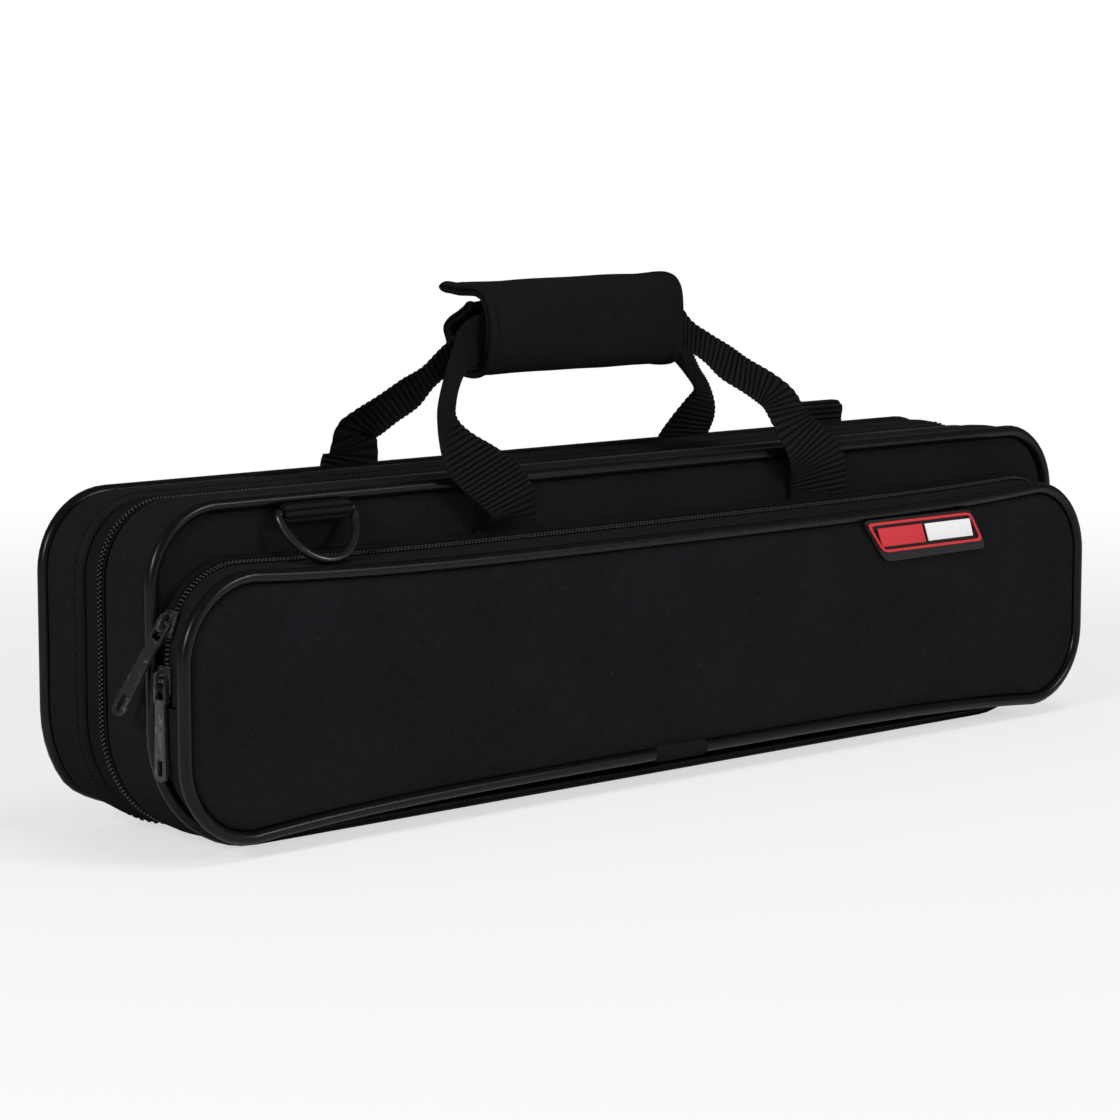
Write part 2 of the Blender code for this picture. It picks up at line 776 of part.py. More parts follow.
def badge(carrier):
    """A plain rubber patch: a black base, a raised red frame and a white stripe."""
    x = CASE_LENGTH / 2 - BADGE_FROM_END
    z = POCKET_HIGH - BADGE_FROM_TOP
    back = POCKET_Y - PANEL_CROWN - CLEARANCE
    front = back - BADGE_THICKNESS
    base = slanted(x, z, BADGE_LENGTH, BADGE_HEIGHT)
    make_object(
        "badge_base",
        loft([at_depth(base, front), at_depth(base, back)]),
        "badge_black",
        carrier,
    )
    rim = front - CLEARANCE
    raised = rim - FRAME_RAISE
    margin = (BADGE_HEIGHT - FRAME_HEIGHT) / 2
    length = BADGE_LENGTH - 2 * margin
    outer = slanted(x, z, length, FRAME_HEIGHT)
    inner = slanted(x, z, length - 2 * FRAME_BAR, FRAME_HEIGHT - 2 * FRAME_BAR)
    rings = [
        at_depth(outer, rim),
        at_depth(outer, raised),
        at_depth(inner, raised),
        at_depth(inner, rim),
    ]
    make_object("badge_frame", loft(rings, True), "badge_red", carrier)
    stripe = slanted(x, z, length - 2 * STRIPE_MARGIN, STRIPE_HEIGHT)
    make_object(
        "badge_stripe",
        loft([at_depth(stripe, raised), at_depth(stripe, rim)]),
        "badge_white",
        carrier,
    )


def handle_place(x_share, y, z_share):
    """A place on the handle: X in half spans, Y from the lid's front, Z in rises."""
    return (
        x_share * HANDLE_HALF_SPAN,
        LID_Y + y,
        CASE_HEIGHT + z_share * HANDLE_RISE,
    )


def strap(name, levels, shares, carrier):
    """Webbing through rows of X, Y and Z shares, the way its width runs and its width."""
    stations = []
    for x_share, y_share, z_share, way, width_share in shares:
        y = levels[y_share] if y_share in levels else y_share * SHELL_DEPTH
        stations.append((handle_place(x_share, y, z_share), way, width_share))
    make_object(name, ribbon(stations), "webbing", carrier)


def front_strap(carrier):
    """The lid's strap: sewn on its panel, over the piping and through the grip."""
    half = WEBBING_THICKNESS / 2
    levels = {
        "sewn": -(CLEARANCE + half),
        "over": -(PIPING_RADIUS + 2 * CLEARANCE + half),
        "held": WRAP_FRONT + WRAP_THICKNESS + STRAP_ROOM + half,
    }
    shares = (
        (-0.762, "sewn", -0.285, (1, 0, 0.02), 1),
        (-0.790, -0.03, -0.210, (0.96, 0, 0.28), 1),
        (-0.845, "over", -0.115, (0.88, 0, 0.47), 1),
        (-0.905, "over", -0.010, (0.8, 0, 0.6), 1),
        (-0.975, "over", 0.080, (0.72, 0, 0.69), 0.95),
        (-1.012, -0.045, 0.170, (0.76, 0.12, 0.6), 0.85),
        (-1.006, 0.085, 0.270, (0.76, 0.36, 0.5), 0.8),
        (-0.955, 0.225, 0.375, (0.7, 0.5, 0.5), 0.8),
        (-0.880, 0.345, 0.490, (0.6, 0.35, 0.7), 0.78),
        (-0.815, 0.430, 0.620, (0.3, 0.1, 0.95), 0.76),
        (-0.735, "held", 0.715, (0.05, 0, 1), 0.74),
        (-0.640, "held", 0.735, (0, 0, 1), 0.74),
        (-0.110, "held", 0.735, (0, 0, 1), 0.74),
        (0.390, "held", 0.735, (0, 0, 1), 0.74),
        (0.460, "held", 0.720, (0, 0, 1), 0.74),
        (0.540, 0.420, 0.640, (0.1, -0.15, 0.97), 0.8),
        (0.605, 0.350, 0.540, (0.3, -0.4, 0.85), 0.88),
        (0.665, 0.255, 0.440, (0.45, -0.6, 0.65), 0.95),
        (0.722, 0.144, 0.345, (0.65, -0.62, 0.4), 0.95),
        (0.770, 0.030, 0.236, (0.88, -0.35, 0.05), 1),
        (0.790, -0.050, 0.127, (0.99, -0.06, -0.1), 1),
        (0.833, "over", 0.006, (1, 0, -0.15), 1),
        (0.906, "over", -0.110, (1, 0, -0.1), 1),
        (0.944, -0.03, -0.205, (1, 0, -0.05), 1),
        (0.964, "sewn", -0.285, (1, 0, 0), 1),
    )
    strap("front_strap", levels, shares, carrier)


def rear_strap(carrier):
    """The rear half's strap: sewn on the back, over the piping and through the grip."""
    half = WEBBING_THICKNESS / 2
    levels = {
        "sewn": SHELL_DEPTH + CLEARANCE + half,
        "over": SHELL_DEPTH + PIPING_RADIUS + 2 * CLEARANCE + half,
    }
    shares = (
        (-0.978, "sewn", -0.290, (1, 0, 0), 1),
        (-0.978, 1.032, -0.170, (1, 0, 0), 1),
        (-0.978, "over", -0.060, (1, 0, 0), 1),
        (-0.985, "over", 0.030, (1, 0, 0), 1),
        (-1.005, 1.035, 0.095, (0.95, -0.2, -0.2), 1),
        (-1.020, 0.985, 0.160, (0.75, -0.4, -0.5), 0.95),
        (-0.990, 0.915, 0.240, (0.45, -0.35, -0.82), 0.95),
        (-0.900, 0.820, 0.360, (0.15, -0.3, -0.94), 0.9),
        (-0.815, 0.720, 0.545, (0.1, -0.17, -0.98), 0.78),
        (-0.735, 0.635, 0.690, (0, 0, -1), 0.7),
        (-0.640, 0.600, 0.722, (0, 0, -1), 0.7),
        (-0.110, 0.600, 0.722, (0, 0, -1), 0.7),
        (0.390, 0.600, 0.722, (0, 0, -1), 0.7),
        (0.460, 0.615, 0.705, (0, 0, -1), 0.7),
        (0.540, 0.650, 0.610, (0.2, 0.2, -0.95), 0.78),
        (0.625, 0.690, 0.495, (0.5, 0.55, -0.65), 0.88),
        (0.743, 0.778, 0.391, (0.68, 0.65, -0.3), 0.95),
        (0.844, 0.888, 0.291, (0.85, 0.5, -0.1), 1),
        (0.894, 0.990, 0.189, (0.97, 0.2, 0), 1),
        (0.880, 1.045, 0.092, (1, 0, 0), 1),
        (0.842, "over", -0.014, (1, 0, 0), 1),
        (0.822, "over", -0.080, (1, 0, 0), 1),
        (0.817, 1.032, -0.180, (1, 0, 0), 1),
        (0.817, "sewn", -0.290, (1, 0, 0), 1),
    )
    strap("rear_strap", levels, shares, carrier)


def wrap_point(y_share, z_share):
    """A point of the wrap's middle line, in shares of its depth and height."""
    room = WRAP_THICKNESS / 2
    return (
        LID_Y + WRAP_FRONT + room + y_share * (WRAP_DEPTH - WRAP_THICKNESS),
        WRAP_BASE + room + z_share * (WRAP_HEIGHT - WRAP_THICKNESS),
    )


def grip_wrap(carrier):
    """The padded wrap: open at the back, where its upper edge flares over its flap."""
    shares = (
        (1.1, 0.955),
        (0.7, 0.98),
        (0.35, 1),
        (0.1, 0.96),
        (0, 0.85),
        (-0.02, 0.5),
        (0, 0.15),
        (0.1, 0.04),
        (0.35, 0),
        (WRAP_EDGE_SHARE, 0),
    )
    path = spline([wrap_point(y, z) for y, z in shares], STEPS_PER_SPAN)
    bm = thick_strip(path, WRAP_THICKNESS, WRAP_LEFT, WRAP_RIGHT)
    make_object("grip_wrap", bm, "fabric", carrier)


def grip_flap(carrier):
    """The wrap's closing flap, which rises behind the straps from its bottom edge."""
    shares = (
        (FLAP_EDGE_SHARE, 0),
        (0.88, 0),
        (1.04, 0.13),
        (1.09, 0.34),
        (1.02, 0.57),
    )
    path = spline([wrap_point(y, z) for y, z in shares], STEPS_PER_SPAN)
    bm = thick_strip(path, FLAP_THICKNESS, WRAP_LEFT, WRAP_RIGHT)
    make_object("grip_flap", bm, "fabric", carrier)


def ring_wire(name, axis, tilt, outward, carrier):
    """A D ring hanging from its straight bar."""
    down = Vector((0, outward * math.sin(tilt), -math.cos(tilt)))
    path = []
    for step in range(RING_BAR_STEPS + 1):
        reach = RING_HALF_WIDTH * (2 * step / RING_BAR_STEPS - 1)
        path.append(axis + Vector((reach, 0, 0)))
    for step in range(1, RING_BOW_STEPS):
        angle = math.pi * step / RING_BOW_STEPS
        reach = RING_HALF_WIDTH * math.cos(angle)
        path.append(axis + Vector((reach, 0, 0)) + down * RING_DROP * math.sin(angle))
    rings = []
    normal = down.cross(Vector((1, 0, 0)))
    count = len(path)
    for index, point in enumerate(path):
        along = (path[(index + 1) % count] - path[index - 1]).normalized()
        side = along.cross(normal).normalized()
        ring = []
        for step in range(RING_SIDES):
            angle = 2 * math.pi * step / RING_SIDES
            way = math.cos(angle) * side + math.sin(angle) * normal
            ring.append(point + RING_WIRE_RADIUS * way)
        rings.append(ring)
    make_object(name, loft(rings, True), "ring_metal", carrier)


def front_ring_tab(carrier):
    """Webbing folded round the front ring's bar and sewn below the lid's piping."""
    centre = (FRONT_RING_AXIS.y, FRONT_RING_AXIS.z)
    top = centre[1] + TAB_THICKNESS
    front_leg = TAB_LEG_Y - TAB_THICKNESS - CLEARANCE
    path = [
        (TAB_LEG_Y, top),
        *arc(centre, LOOP_RADIUS, 0, -200, TAB_LOOP_STEPS),
        *arc(centre, LOOP_RADIUS, -225, -250, 1),
        (front_leg, top + TAB_THICKNESS / 2),
    ]
    x = FRONT_RING_AXIS.x
    bm = thick_strip(path, TAB_THICKNESS, x - TAB_WIDTH / 2, x + TAB_WIDTH / 2)
    make_object("front_ring_tab", bm, "webbing", carrier)


def rear_ring_tab(carrier):
    """Webbing sewn on the back, standing over the piping round the rear ring's bar."""
    centre = (REAR_RING_AXIS.y, REAR_RING_AXIS.z)
    leg = REAR_Y + CLEARANCE + TAB_THICKNESS / 2
    piping_z = CASE_HEIGHT - PIPING_RADIUS
    low = piping_z - PIPING_RADIUS - TAB_SEWN_LENGTH
    bend = piping_z - 2 * PIPING_RADIUS - TAB_THICKNESS
    inner = REAR_RING_AXIS.y - LOOP_RADIUS
    gap = TAB_THICKNESS + CLEARANCE
    path = [
        (leg, low),
        (leg, bend),
        (inner, piping_z - PIPING_RADIUS / 2),
        *arc(centre, LOOP_RADIUS, 180, -40, TAB_LOOP_STEPS),
        (inner + gap, piping_z + PIPING_RADIUS / 2),
        (inner + gap, piping_z - PIPING_RADIUS),
        (leg + gap, bend - gap),
        (leg + gap, low),
    ]
    x = REAR_RING_AXIS.x
    bm = thick_strip(path, TAB_THICKNESS, x - TAB_WIDTH / 2, x + TAB_WIDTH / 2)
    make_object("rear_ring_tab", bm, "webbing", carrier)


def slider_body():
    """A slider in its own frame: travel along Z, outward along X, chain below X zero."""
    half = SLIDER_LENGTH / 2
    plate = box((0, -SLIDER_WIDTH / 2, -half), (SLIDER_PLATE, SLIDER_WIDTH / 2, half))
    rear_flange = box(
        (-FLANGE_DEPTH, SLIDER_WIDTH / 2 - FLANGE_THICKNESS, -half),
        (SLIDER_PLATE / 2, SLIDER_WIDTH / 2, half),
    )
    reach = BRIDGE_LENGTH / 2
    foot = SLIDER_PLATE / 2
    top = SLIDER_PLATE + BRIDGE_RISE
    profile = [
        (foot, -reach),
        (top - BRIDGE_BAR, -reach),
        (top, -reach + BRIDGE_BAR),
        (top, reach - BRIDGE_BAR),
        (top - BRIDGE_BAR, reach),
        (foot, reach),
        (foot, reach - BRIDGE_BAR),
        (top - BRIDGE_BAR, reach - BRIDGE_BAR),
        (top - BRIDGE_BAR, -reach + BRIDGE_BAR),
        (foot, -reach + BRIDGE_BAR),
    ]
    sides = (-BRIDGE_WIDTH / 2, BRIDGE_WIDTH / 2)
    bridge = loft([[(x, y, z) for x, z in profile] for y in sides])
    return carve(plate, [rear_flange, bridge], "UNION")


def pull_plate():
    """A pull in its own frame: its bar on the Y axis, hanging along -Z, thick along X."""
    half = PULL_WIDTH / 2
    tip = PULL_LENGTH - EYE_BAR / 2
    narrow = half * PULL_TAPER_SHARE
    shoulder = EYE_LENGTH + EYE_BAR
    points = [
        (-half, EYE_BAR / 2),
        (-half, -shoulder),
        (-narrow, -shoulder - EYE_BAR),
        (-half, -tip + half),
    ]
    tip_arc = arc((0, 0), half, 180 + TIP_DEGREES, 360 - TIP_DEGREES, TIP_STEPS)
    points += [(y, -tip + half + z) for y, z in tip_arc]
    points += [
        (half, -tip + half),
        (narrow, -shoulder - EYE_BAR),
        (half, -shoulder),
        (half, EYE_BAR / 2),
    ]
    faces = (-PULL_THICKNESS / 2, PULL_THICKNESS / 2)
    plate = loft([[(x, y, z) for y, z in points] for x in faces])
    eye = box(
        (-PULL_THICKNESS, -EYE_WIDTH / 2, -EYE_BAR / 2 - EYE_LENGTH),
        (PULL_THICKNESS, EYE_WIDTH / 2, -EYE_BAR / 2),
    )
    slot = box(
        (-PULL_THICKNESS, -SLOT_WIDTH / 2, -tip + SLOT_MARGIN),
        (PULL_THICKNESS, SLOT_WIDTH / 2, -tip + SLOT_MARGIN + SLOT_LENGTH),
    )
    return carve(plate, [eye, slot], "DIFFERENCE")


def slider_and_pull(name, place, turn, pull_turn, carrier, slide_axis=None):
    """A slider on the chain at this place, and its pull on the slider's bridge."""
    body_axis = axis_empty(f"{name}_axis", slide_axis or place, carrier)
    frame = Matrix.Translation(place) @ turn
    body = slider_body()
    bmesh.ops.transform(body, matrix=frame, verts=body.verts)
    make_object(name, body, "zip_metal", body_axis)
    height = SLIDER_PLATE + (BRIDGE_RISE - BRIDGE_BAR) / 2
    pivot = frame @ Vector((height, 0, 0))
    pull_axis = axis_empty(f"{name}_pull_axis", pivot, body_axis)
    pull = pull_plate()
    matrix = Matrix.Translation(pivot) @ pull_turn
    bmesh.ops.transform(pull, matrix=matrix, verts=pull.verts)
    make_object(f"{name}_pull", pull, "zip_metal", pull_axis)


def pocket_sliders(lid):
    """Two sliders on the pocket's zip at the left end, the upper one on the corner."""
    y = LID_Y - POCKET_CHAIN_SETBACK
    half, _, high, radius, _, _ = pocket_sizes(y, 0)
    out = POCKET_CHAIN_RISE + SLIDER_CLEARANCE
    face_left = Matrix.Rotation(math.pi, 4, "Y")
    lift = Matrix.Rotation(PULL_LIFT, 4, "Y")
    lean = Matrix.Rotation(PULL_LEAN, 4, "X")
    place = Vector((-half - out, y, LOWER_SLIDER_HEIGHT))
    slider_and_pull("pocket_slider_lower", place, face_left, Matrix.Identity(4), lid)
    centre = Vector((-half + radius, y, high - radius))
    reach = radius + out
    tilt = UPPER_SLIDER_TILT
    place = centre + reach * Vector((-math.cos(tilt), 0, math.sin(tilt)))
    turn = Matrix.Rotation(tilt, 4, "Y") @ face_left
    slider_and_pull("pocket_slider_upper", place, turn, lean @ lift, lid, centre)


def main_sliders(root):
    """Two sliders on the main zip, side by side on the right end."""
    out = SLIDER_CLEARANCE - CHAIN_SINK
    lift = Matrix.Rotation(-MAIN_PULL_LIFT, 4, "Y")
    for name, side in (("main_slider_upper", 1), ("main_slider_lower", -1)):
        z = MAIN_SLIDER_HEIGHT + side * MAIN_SLIDER_SPACING / 2
        place = Vector((SHELL_HALF + out, ZIP_Y, z))
        slider_and_pull(name, place, Matrix.Identity(4), lift, root)


def main():
    clear_scene()
    root = axis_empty("rear_half", Vector((0, 0, 0)))
    lid = axis_empty("lid_axis", LID_AXIS, root)
    front = axis_empty("pocket_axis", POCKET_AXIS, lid)
    front_ring = axis_empty("front_ring_axis", FRONT_RING_AXIS, lid)
    rear_ring = axis_empty("rear_ring_axis", REAR_RING_AXIS, root)
    flap = axis_empty("grip_flap_axis", FLAP_AXIS, lid)

    foam_shell("rear_shell", REAR_Y, REAR_TAPE_WIDTH, 1, root)
    foam_shell("lid_shell", LID_Y, LID_TAPE_WIDTH, -1, lid)
    case_piping("rear_piping", REAR_Y, root)
    case_piping("lid_piping", LID_Y, lid)
    zip_half("zip_rear_half", ZIP_Y, REAR_TAPE_WIDTH, 1, root)
    zip_half("zip_lid_half", ZIP_Y, LID_TAPE_WIDTH, -1, lid)
    hinge_strip(root)
    insert(root)
    lid_lining(lid)
    pocket_gussets(lid, front)
    pocket_front(front)
    badge(front)
    front_strap(lid)
    rear_strap(root)
    grip_wrap(lid)
    grip_flap(flap)
    front_ring_tab(lid)
    rear_ring_tab(root)
    ring_wire("front_ring", FRONT_RING_AXIS, FRONT_RING_TILT, -1, front_ring)
    ring_wire("rear_ring", REAR_RING_AXIS, REAR_RING_TILT, 1, rear_ring)
    pocket_sliders(lid)
    main_sliders(root)


main()
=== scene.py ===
"""The looks of a soft flute case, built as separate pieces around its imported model."""

import json
import math
from functools import partial

import bmesh
import bpy
import numpy as np
from mathutils import Matrix, Vector, noise


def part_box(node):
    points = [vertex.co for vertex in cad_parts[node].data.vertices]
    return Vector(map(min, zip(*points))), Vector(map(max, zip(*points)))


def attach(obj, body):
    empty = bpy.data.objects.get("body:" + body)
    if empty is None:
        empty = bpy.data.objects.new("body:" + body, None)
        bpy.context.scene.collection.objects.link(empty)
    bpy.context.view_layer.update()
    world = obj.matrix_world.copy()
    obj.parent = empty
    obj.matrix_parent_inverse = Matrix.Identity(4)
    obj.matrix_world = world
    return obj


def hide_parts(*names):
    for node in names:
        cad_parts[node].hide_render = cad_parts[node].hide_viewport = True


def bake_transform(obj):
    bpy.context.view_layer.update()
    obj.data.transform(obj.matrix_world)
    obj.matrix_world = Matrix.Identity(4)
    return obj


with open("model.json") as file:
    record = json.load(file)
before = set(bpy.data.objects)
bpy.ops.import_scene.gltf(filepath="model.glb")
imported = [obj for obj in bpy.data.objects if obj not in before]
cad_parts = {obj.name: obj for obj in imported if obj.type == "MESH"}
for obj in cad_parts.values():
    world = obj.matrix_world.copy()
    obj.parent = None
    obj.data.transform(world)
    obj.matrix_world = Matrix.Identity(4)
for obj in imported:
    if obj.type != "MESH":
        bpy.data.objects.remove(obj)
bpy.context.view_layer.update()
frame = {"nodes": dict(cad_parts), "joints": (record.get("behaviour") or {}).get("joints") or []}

bl_info = {
    "name": "Flute Case",
    "version": (1, 0, 0),
    "blender": (4, 5, 0),
    "location": "3D View > Sidebar > Flute Case",
    "description": "Makes a soft flute case with a pocket and a webbing handle",
    "category": "Add Mesh",
}

MM = 0.001


def middle(node):
    low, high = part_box(node)
    return (low + high) / 2


def span(node):
    low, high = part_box(node)
    return high - low


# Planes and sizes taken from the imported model
CASE_LENGTH = span("lid_piping").x
CASE_HEIGHT = span("lid_piping").z
PIPING_RADIUS = span("lid_piping").y / 2
LID_Y = middle("lid_piping").y
REAR_Y = middle("rear_piping").y
POCKET_Y = middle("pocket_piping").y
ZIP_Y = (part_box("zip_lid_half")[1].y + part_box("zip_rear_half")[0].y) / 2
POCKET_CHAIN_Y = (
    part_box("pocket_zip_front_half")[1].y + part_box("pocket_zip_rear_half")[0].y
) / 2
ZIP_STOP_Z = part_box("pocket_zip_front_half")[0].z
ZIP_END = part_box("hinge_strip")[1].x

# Case: its corners, the rear half's drawn up lower edge, its walls and its inside
CORNER_RADIUS = 27 * MM
LOW_CORNER_RADIUS = 42 * MM
REAR_LIFT = 4.5 * MM
REAR_LIFT_FROM = (110 * MM, 14 * MM, 18 * MM)
REAR_LIFT_TO = (185 * MM, 33 * MM, 0)
DRAWN_IN = 1.5 * MM
CLEARANCE = 0.3 * MM
PANEL_SETBACK = 0.2 * MM
FOAM_WALL = 9 * MM
FOAM_PANEL = 7.6 * MM
INSIDE_INSET = DRAWN_IN + FOAM_WALL + CLEARANCE

# Zips, with each tape's half gap and its depth under the rims, and the sewn rows
REAR_TAPE_WIDTH = 9.5 * MM
LID_TAPE_WIDTH = 2.5 * MM
TAPE_SINK = 0.5 * MM
TAPE_GAP = 0.35 * MM
TEETH_OUT = 0.62 * MM
TOOTH_SIZE = (0.85 * MM, 1.15 * MM, 0.8 * MM)
REAR_STITCHES_Y = ZIP_Y + REAR_TAPE_WIDTH + 3.4 * MM
LID_STITCHES_Y = ZIP_Y - 9 * MM

# Pocket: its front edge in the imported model, and its seam on the lid
POCKET_DEPTH = LID_Y - POCKET_Y
POCKET_HALF = span("pocket_piping").x / 2 - PIPING_RADIUS
POCKET_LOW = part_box("pocket_piping")[0].z + PIPING_RADIUS
POCKET_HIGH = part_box("pocket_piping")[1].z - PIPING_RADIUS
POCKET_CORNER_SHARE = 0.321
POCKET_RADIUS = POCKET_CORNER_SHARE * (POCKET_HIGH - POCKET_LOW)
POCKET_TOP_SAG = 3.4 * MM
POCKET_BOTTOM_RISE = 4.2 * MM
SEAM_END_INSET = 5 * MM
SEAM_FROM_TOP = 18.8 * MM
SEAM_HALF = CASE_LENGTH / 2 - SEAM_END_INSET
SEAM_HIGH = CASE_HEIGHT - SEAM_FROM_TOP
SEAM_LOW = 5.8 * MM
SEAM_LOW_RADIUS = 37 * MM
SEAM_TOP_SAG = 1.2 * MM
SEAM_BOTTOM_RISE = 3 * MM
PANEL_CROWN = 1.2 * MM
GUSSET_THICKNESS = 0.9 * MM
FOLD_STEPS = 14
PANEL_THICKNESS = 3.2 * MM

# Handle
WEBBING_WIDTH = 29 * MM
WEBBING_THICKNESS = 1.35 * MM
WRAP_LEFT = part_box("grip_wrap")[0].x
WRAP_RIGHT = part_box("grip_wrap")[1].x
WRAP_THICKNESS = 3 * MM
FLAP_THICKNESS = 2.4 * MM

# Rings and tabs
RING_WIRE = 1.5 * MM
RING_HALF = 15.6 * MM
RING_DROP = 17.5 * MM
RING_SHIFT = 3.6 * MM
FRONT_RING_TILT = math.radians(30)
REAR_RING_TILT = math.radians(14)
TAB_WIDTH = 28 * MM
TAB_THICKNESS = 1.5 * MM
TAB_SEWN_LENGTH = 11 * MM
BAR_STEPS = 8
BOW_STEPS = 48
LOOP_STEPS = 12
LOOP_RADIUS = RING_WIRE + CLEARANCE + TAB_THICKNESS / 2
TAB_LEG_Y = LID_Y - CLEARANCE - TAB_THICKNESS / 2


def joint_place(name):
    """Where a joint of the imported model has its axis."""
    for joint in frame["joints"]:
        if joint["name"] == name:
            return Vector(joint["pos_m"])
    raise RuntimeError(f"the packed model has no joint {name}")


FRONT_RING_AXIS = joint_place("front_ring_swing") - Vector((RING_SHIFT, 0, 0))
REAR_RING_AXIS = joint_place("rear_ring_swing")


def distance(name, description, default):
    return bpy.props.FloatProperty(
        name=name, description=description, default=default,
        subtype="DISTANCE", unit="LENGTH",
    )


def tint(name, description, default):
    return bpy.props.FloatVectorProperty(
        name=name, description=description, default=default, subtype="COLOR"
    )


# The sizes and colours that a user would change
class FluteCaseSizes(bpy.types.PropertyGroup):
    """Sizes of the details and the colours of the finishes."""

    tooth_pitch: distance(
        "Tooth pitch", "Distance between two teeth of one half of a zip", 1.5 * MM
    )
    rib_pitch: distance(
        "Rib pitch", "Distance between two ribs of the webbing", 2.1 * MM
    )
    rib_height: distance(
        "Rib height", "How far a rib of the webbing stands up", 0.6 * MM
    )
    stitch_length: distance(
        "Stitch length", "Length of one stitch of a sewn row", 2.2 * MM
    )
    stitch_pitch: distance(
        "Stitch pitch", "Distance between two stitches of a sewn row", 3 * MM
    )
    thread_radius: distance(
        "Thread radius", "Half the thickness of the sewing thread", 0.24 * MM
    )
    wall_bulge: distance(
        "Wall bulge", "How far the fabric walls swell between their seams", 0.8 * MM
    )
    weave_pitch: distance(
        "Weave pitch", "Distance between two threads of the fabric", 0.5 * MM
    )
    fabric_colour: tint(
        "Fabric", "Colour of the woven cover", (0.0089, 0.0083, 0.0099)
    )
    piping_colour: tint(
        "Piping", "Colour of the glossy piping", (0.0035, 0.0035, 0.0037)
    )
    webbing_colour: tint(
        "Webbing", "Colour of the straps and tabs", (0.0092, 0.0092, 0.0098)
    )
    badge_colour: tint(
        "Badge", "Colour of the badge's raised frame", (0.55, 0.016, 0.016)
    )


def sizes():
    return bpy.context.scene.flute_case


# Shader maths
class Value:
    """A shader socket on which Python's operators make Math nodes."""

    def __init__(self, finish, socket):
        self.finish = finish
        self.socket = socket

    def maths(self, operation, *values):
        return self.finish.node(
            "ShaderNodeMath", {"operation": operation}, dict(enumerate((self, *values)))
        )

    def __add__(self, other):
        return self.maths("ADD", other)

    def __radd__(self, other):
        return self.maths("ADD", other)

    def __sub__(self, other):
        return self.maths("SUBTRACT", other)

    def __rsub__(self, other):
        return -1 * self + other

    def __mul__(self, other):
        return self.maths("MULTIPLY", other)

    def __rmul__(self, other):
        return self.maths("MULTIPLY", other)

    def sine(self):
        return self.maths("SINE")

    def above(self, edge, soft):
        """0 below the edge and 1 above it, over a soft step."""
        return self.finish.node(
            "ShaderNodeMapRange",
            {"interpolation_type": "SMOOTHSTEP"},
            {"Value": self, "From Min": edge - soft, "From Max": edge + soft},
        )


class Finish:
    """A material that is built up from nodes."""

    def __init__(self, name, **constants):
        self.material = bpy.data.materials.new(name)
        self.material.use_nodes = True
        self.tree = self.material.node_tree
        self.surface = self.tree.nodes["Principled BSDF"]
        for key, value in constants.items():
            self.surface.inputs[key.replace("_", " ")].default_value = value

    def node(self, kind, settings=(), inputs=(), output=0):
        made = self.tree.nodes.new(kind)
        for key, value in dict(settings).items():
            setattr(made, key, value)
        for key, value in dict(inputs).items():
            self.feed(made.inputs[key], value)
        return Value(self, made.outputs[output])

    def feed(self, socket, value):
        if isinstance(value, Value):
            self.tree.links.new(value.socket, socket)
        else:
            socket.default_value = value

    def place(self):
        return self.node("ShaderNodeTexCoord", output="Object")

    def cloth(self):
        """The two lengths along a piece's cloth, from its own UV map."""
        split = self.tree.nodes.new("ShaderNodeSeparateXYZ")
        self.feed(split.inputs[0], self.node("ShaderNodeTexCoord", output="UV"))
        return Value(self, split.outputs[0]), Value(self, split.outputs[1])

    def rib(self):
        """What loft keeps at each point of a woven band."""
        return self.node(
            "ShaderNodeAttribute", {"attribute_name": "rib"}, output="Fac"
        )

    def noise(self, scale, detail=3):
        return self.node(
            "ShaderNodeTexNoise",
            inputs={"Vector": self.place(), "Scale": scale, "Detail": detail},
        )

    def blend(self, share, first, second):
        """Two colours mixed by a share."""
        first, second = (
            side if isinstance(side, Value) else (*side, 1) for side in (first, second)
        )
        inputs = {0: share, 6: first, 7: second}
        return self.node("ShaderNodeMix", {"data_type": "RGBA"}, inputs, 2)

    def colour(self, value):
        self.feed(self.surface.inputs["Base Color"], value)

    def rough(self, value):
        self.feed(self.surface.inputs["Roughness"], value)

    def bump(self, height, depth):
        bump = self.node(
            "ShaderNodeBump",
            inputs={"Strength": 1, "Height": height, "Distance": depth},
        )
        self.feed(self.surface.inputs["Normal"], bump)
        return self.material


def lighter(colour, gain):
    return tuple(channel * gain for channel in colour)


def woven(name, colour):
    """Fine twill with a soft unevenness and a few specks of lint."""
    finish = Finish(
        name, Roughness=0.92, Specular_IOR_Level=0, Sheen_Weight=0.006,
        Sheen_Roughness=0.5,
    )
    u, v = finish.cloth()
    turn = 2 * math.pi / sizes().weave_pitch
    warp = (u * turn).sine()
    weft = (v * turn).sine()
    twill = ((u + v) * (turn / 3)).sine()
    threads = warp * weft * 0.5 + twill * 0.5
    cloudy = finish.noise(26, 4)
    mottled = finish.noise(420, 3)
    fuzz = finish.noise(1500, 2)
    lint = finish.noise(900, 1).above(0.77, 0.03)
    share = threads * 0.03 + cloudy * 0.4 + mottled * 0.4 + fuzz * 0.3
    cloth = finish.blend(share, lighter(colour, 0.35), lighter(colour, 1.85))
    finish.colour(finish.blend(lint * 0.35, cloth, lighter(colour, 6)))
    finish.rough(0.84 + cloudy * 0.12)
    return finish.bump(threads * 0.1 + fuzz * 0.9, 0.05 * MM)


def fabric():
    return woven("case_fabric", sizes().fabric_colour)


def grip_fabric():
    """The grip's cover, its colour a little darker as painted shade."""
    return woven("grip_fabric", lighter(sizes().fabric_colour, 0.84))


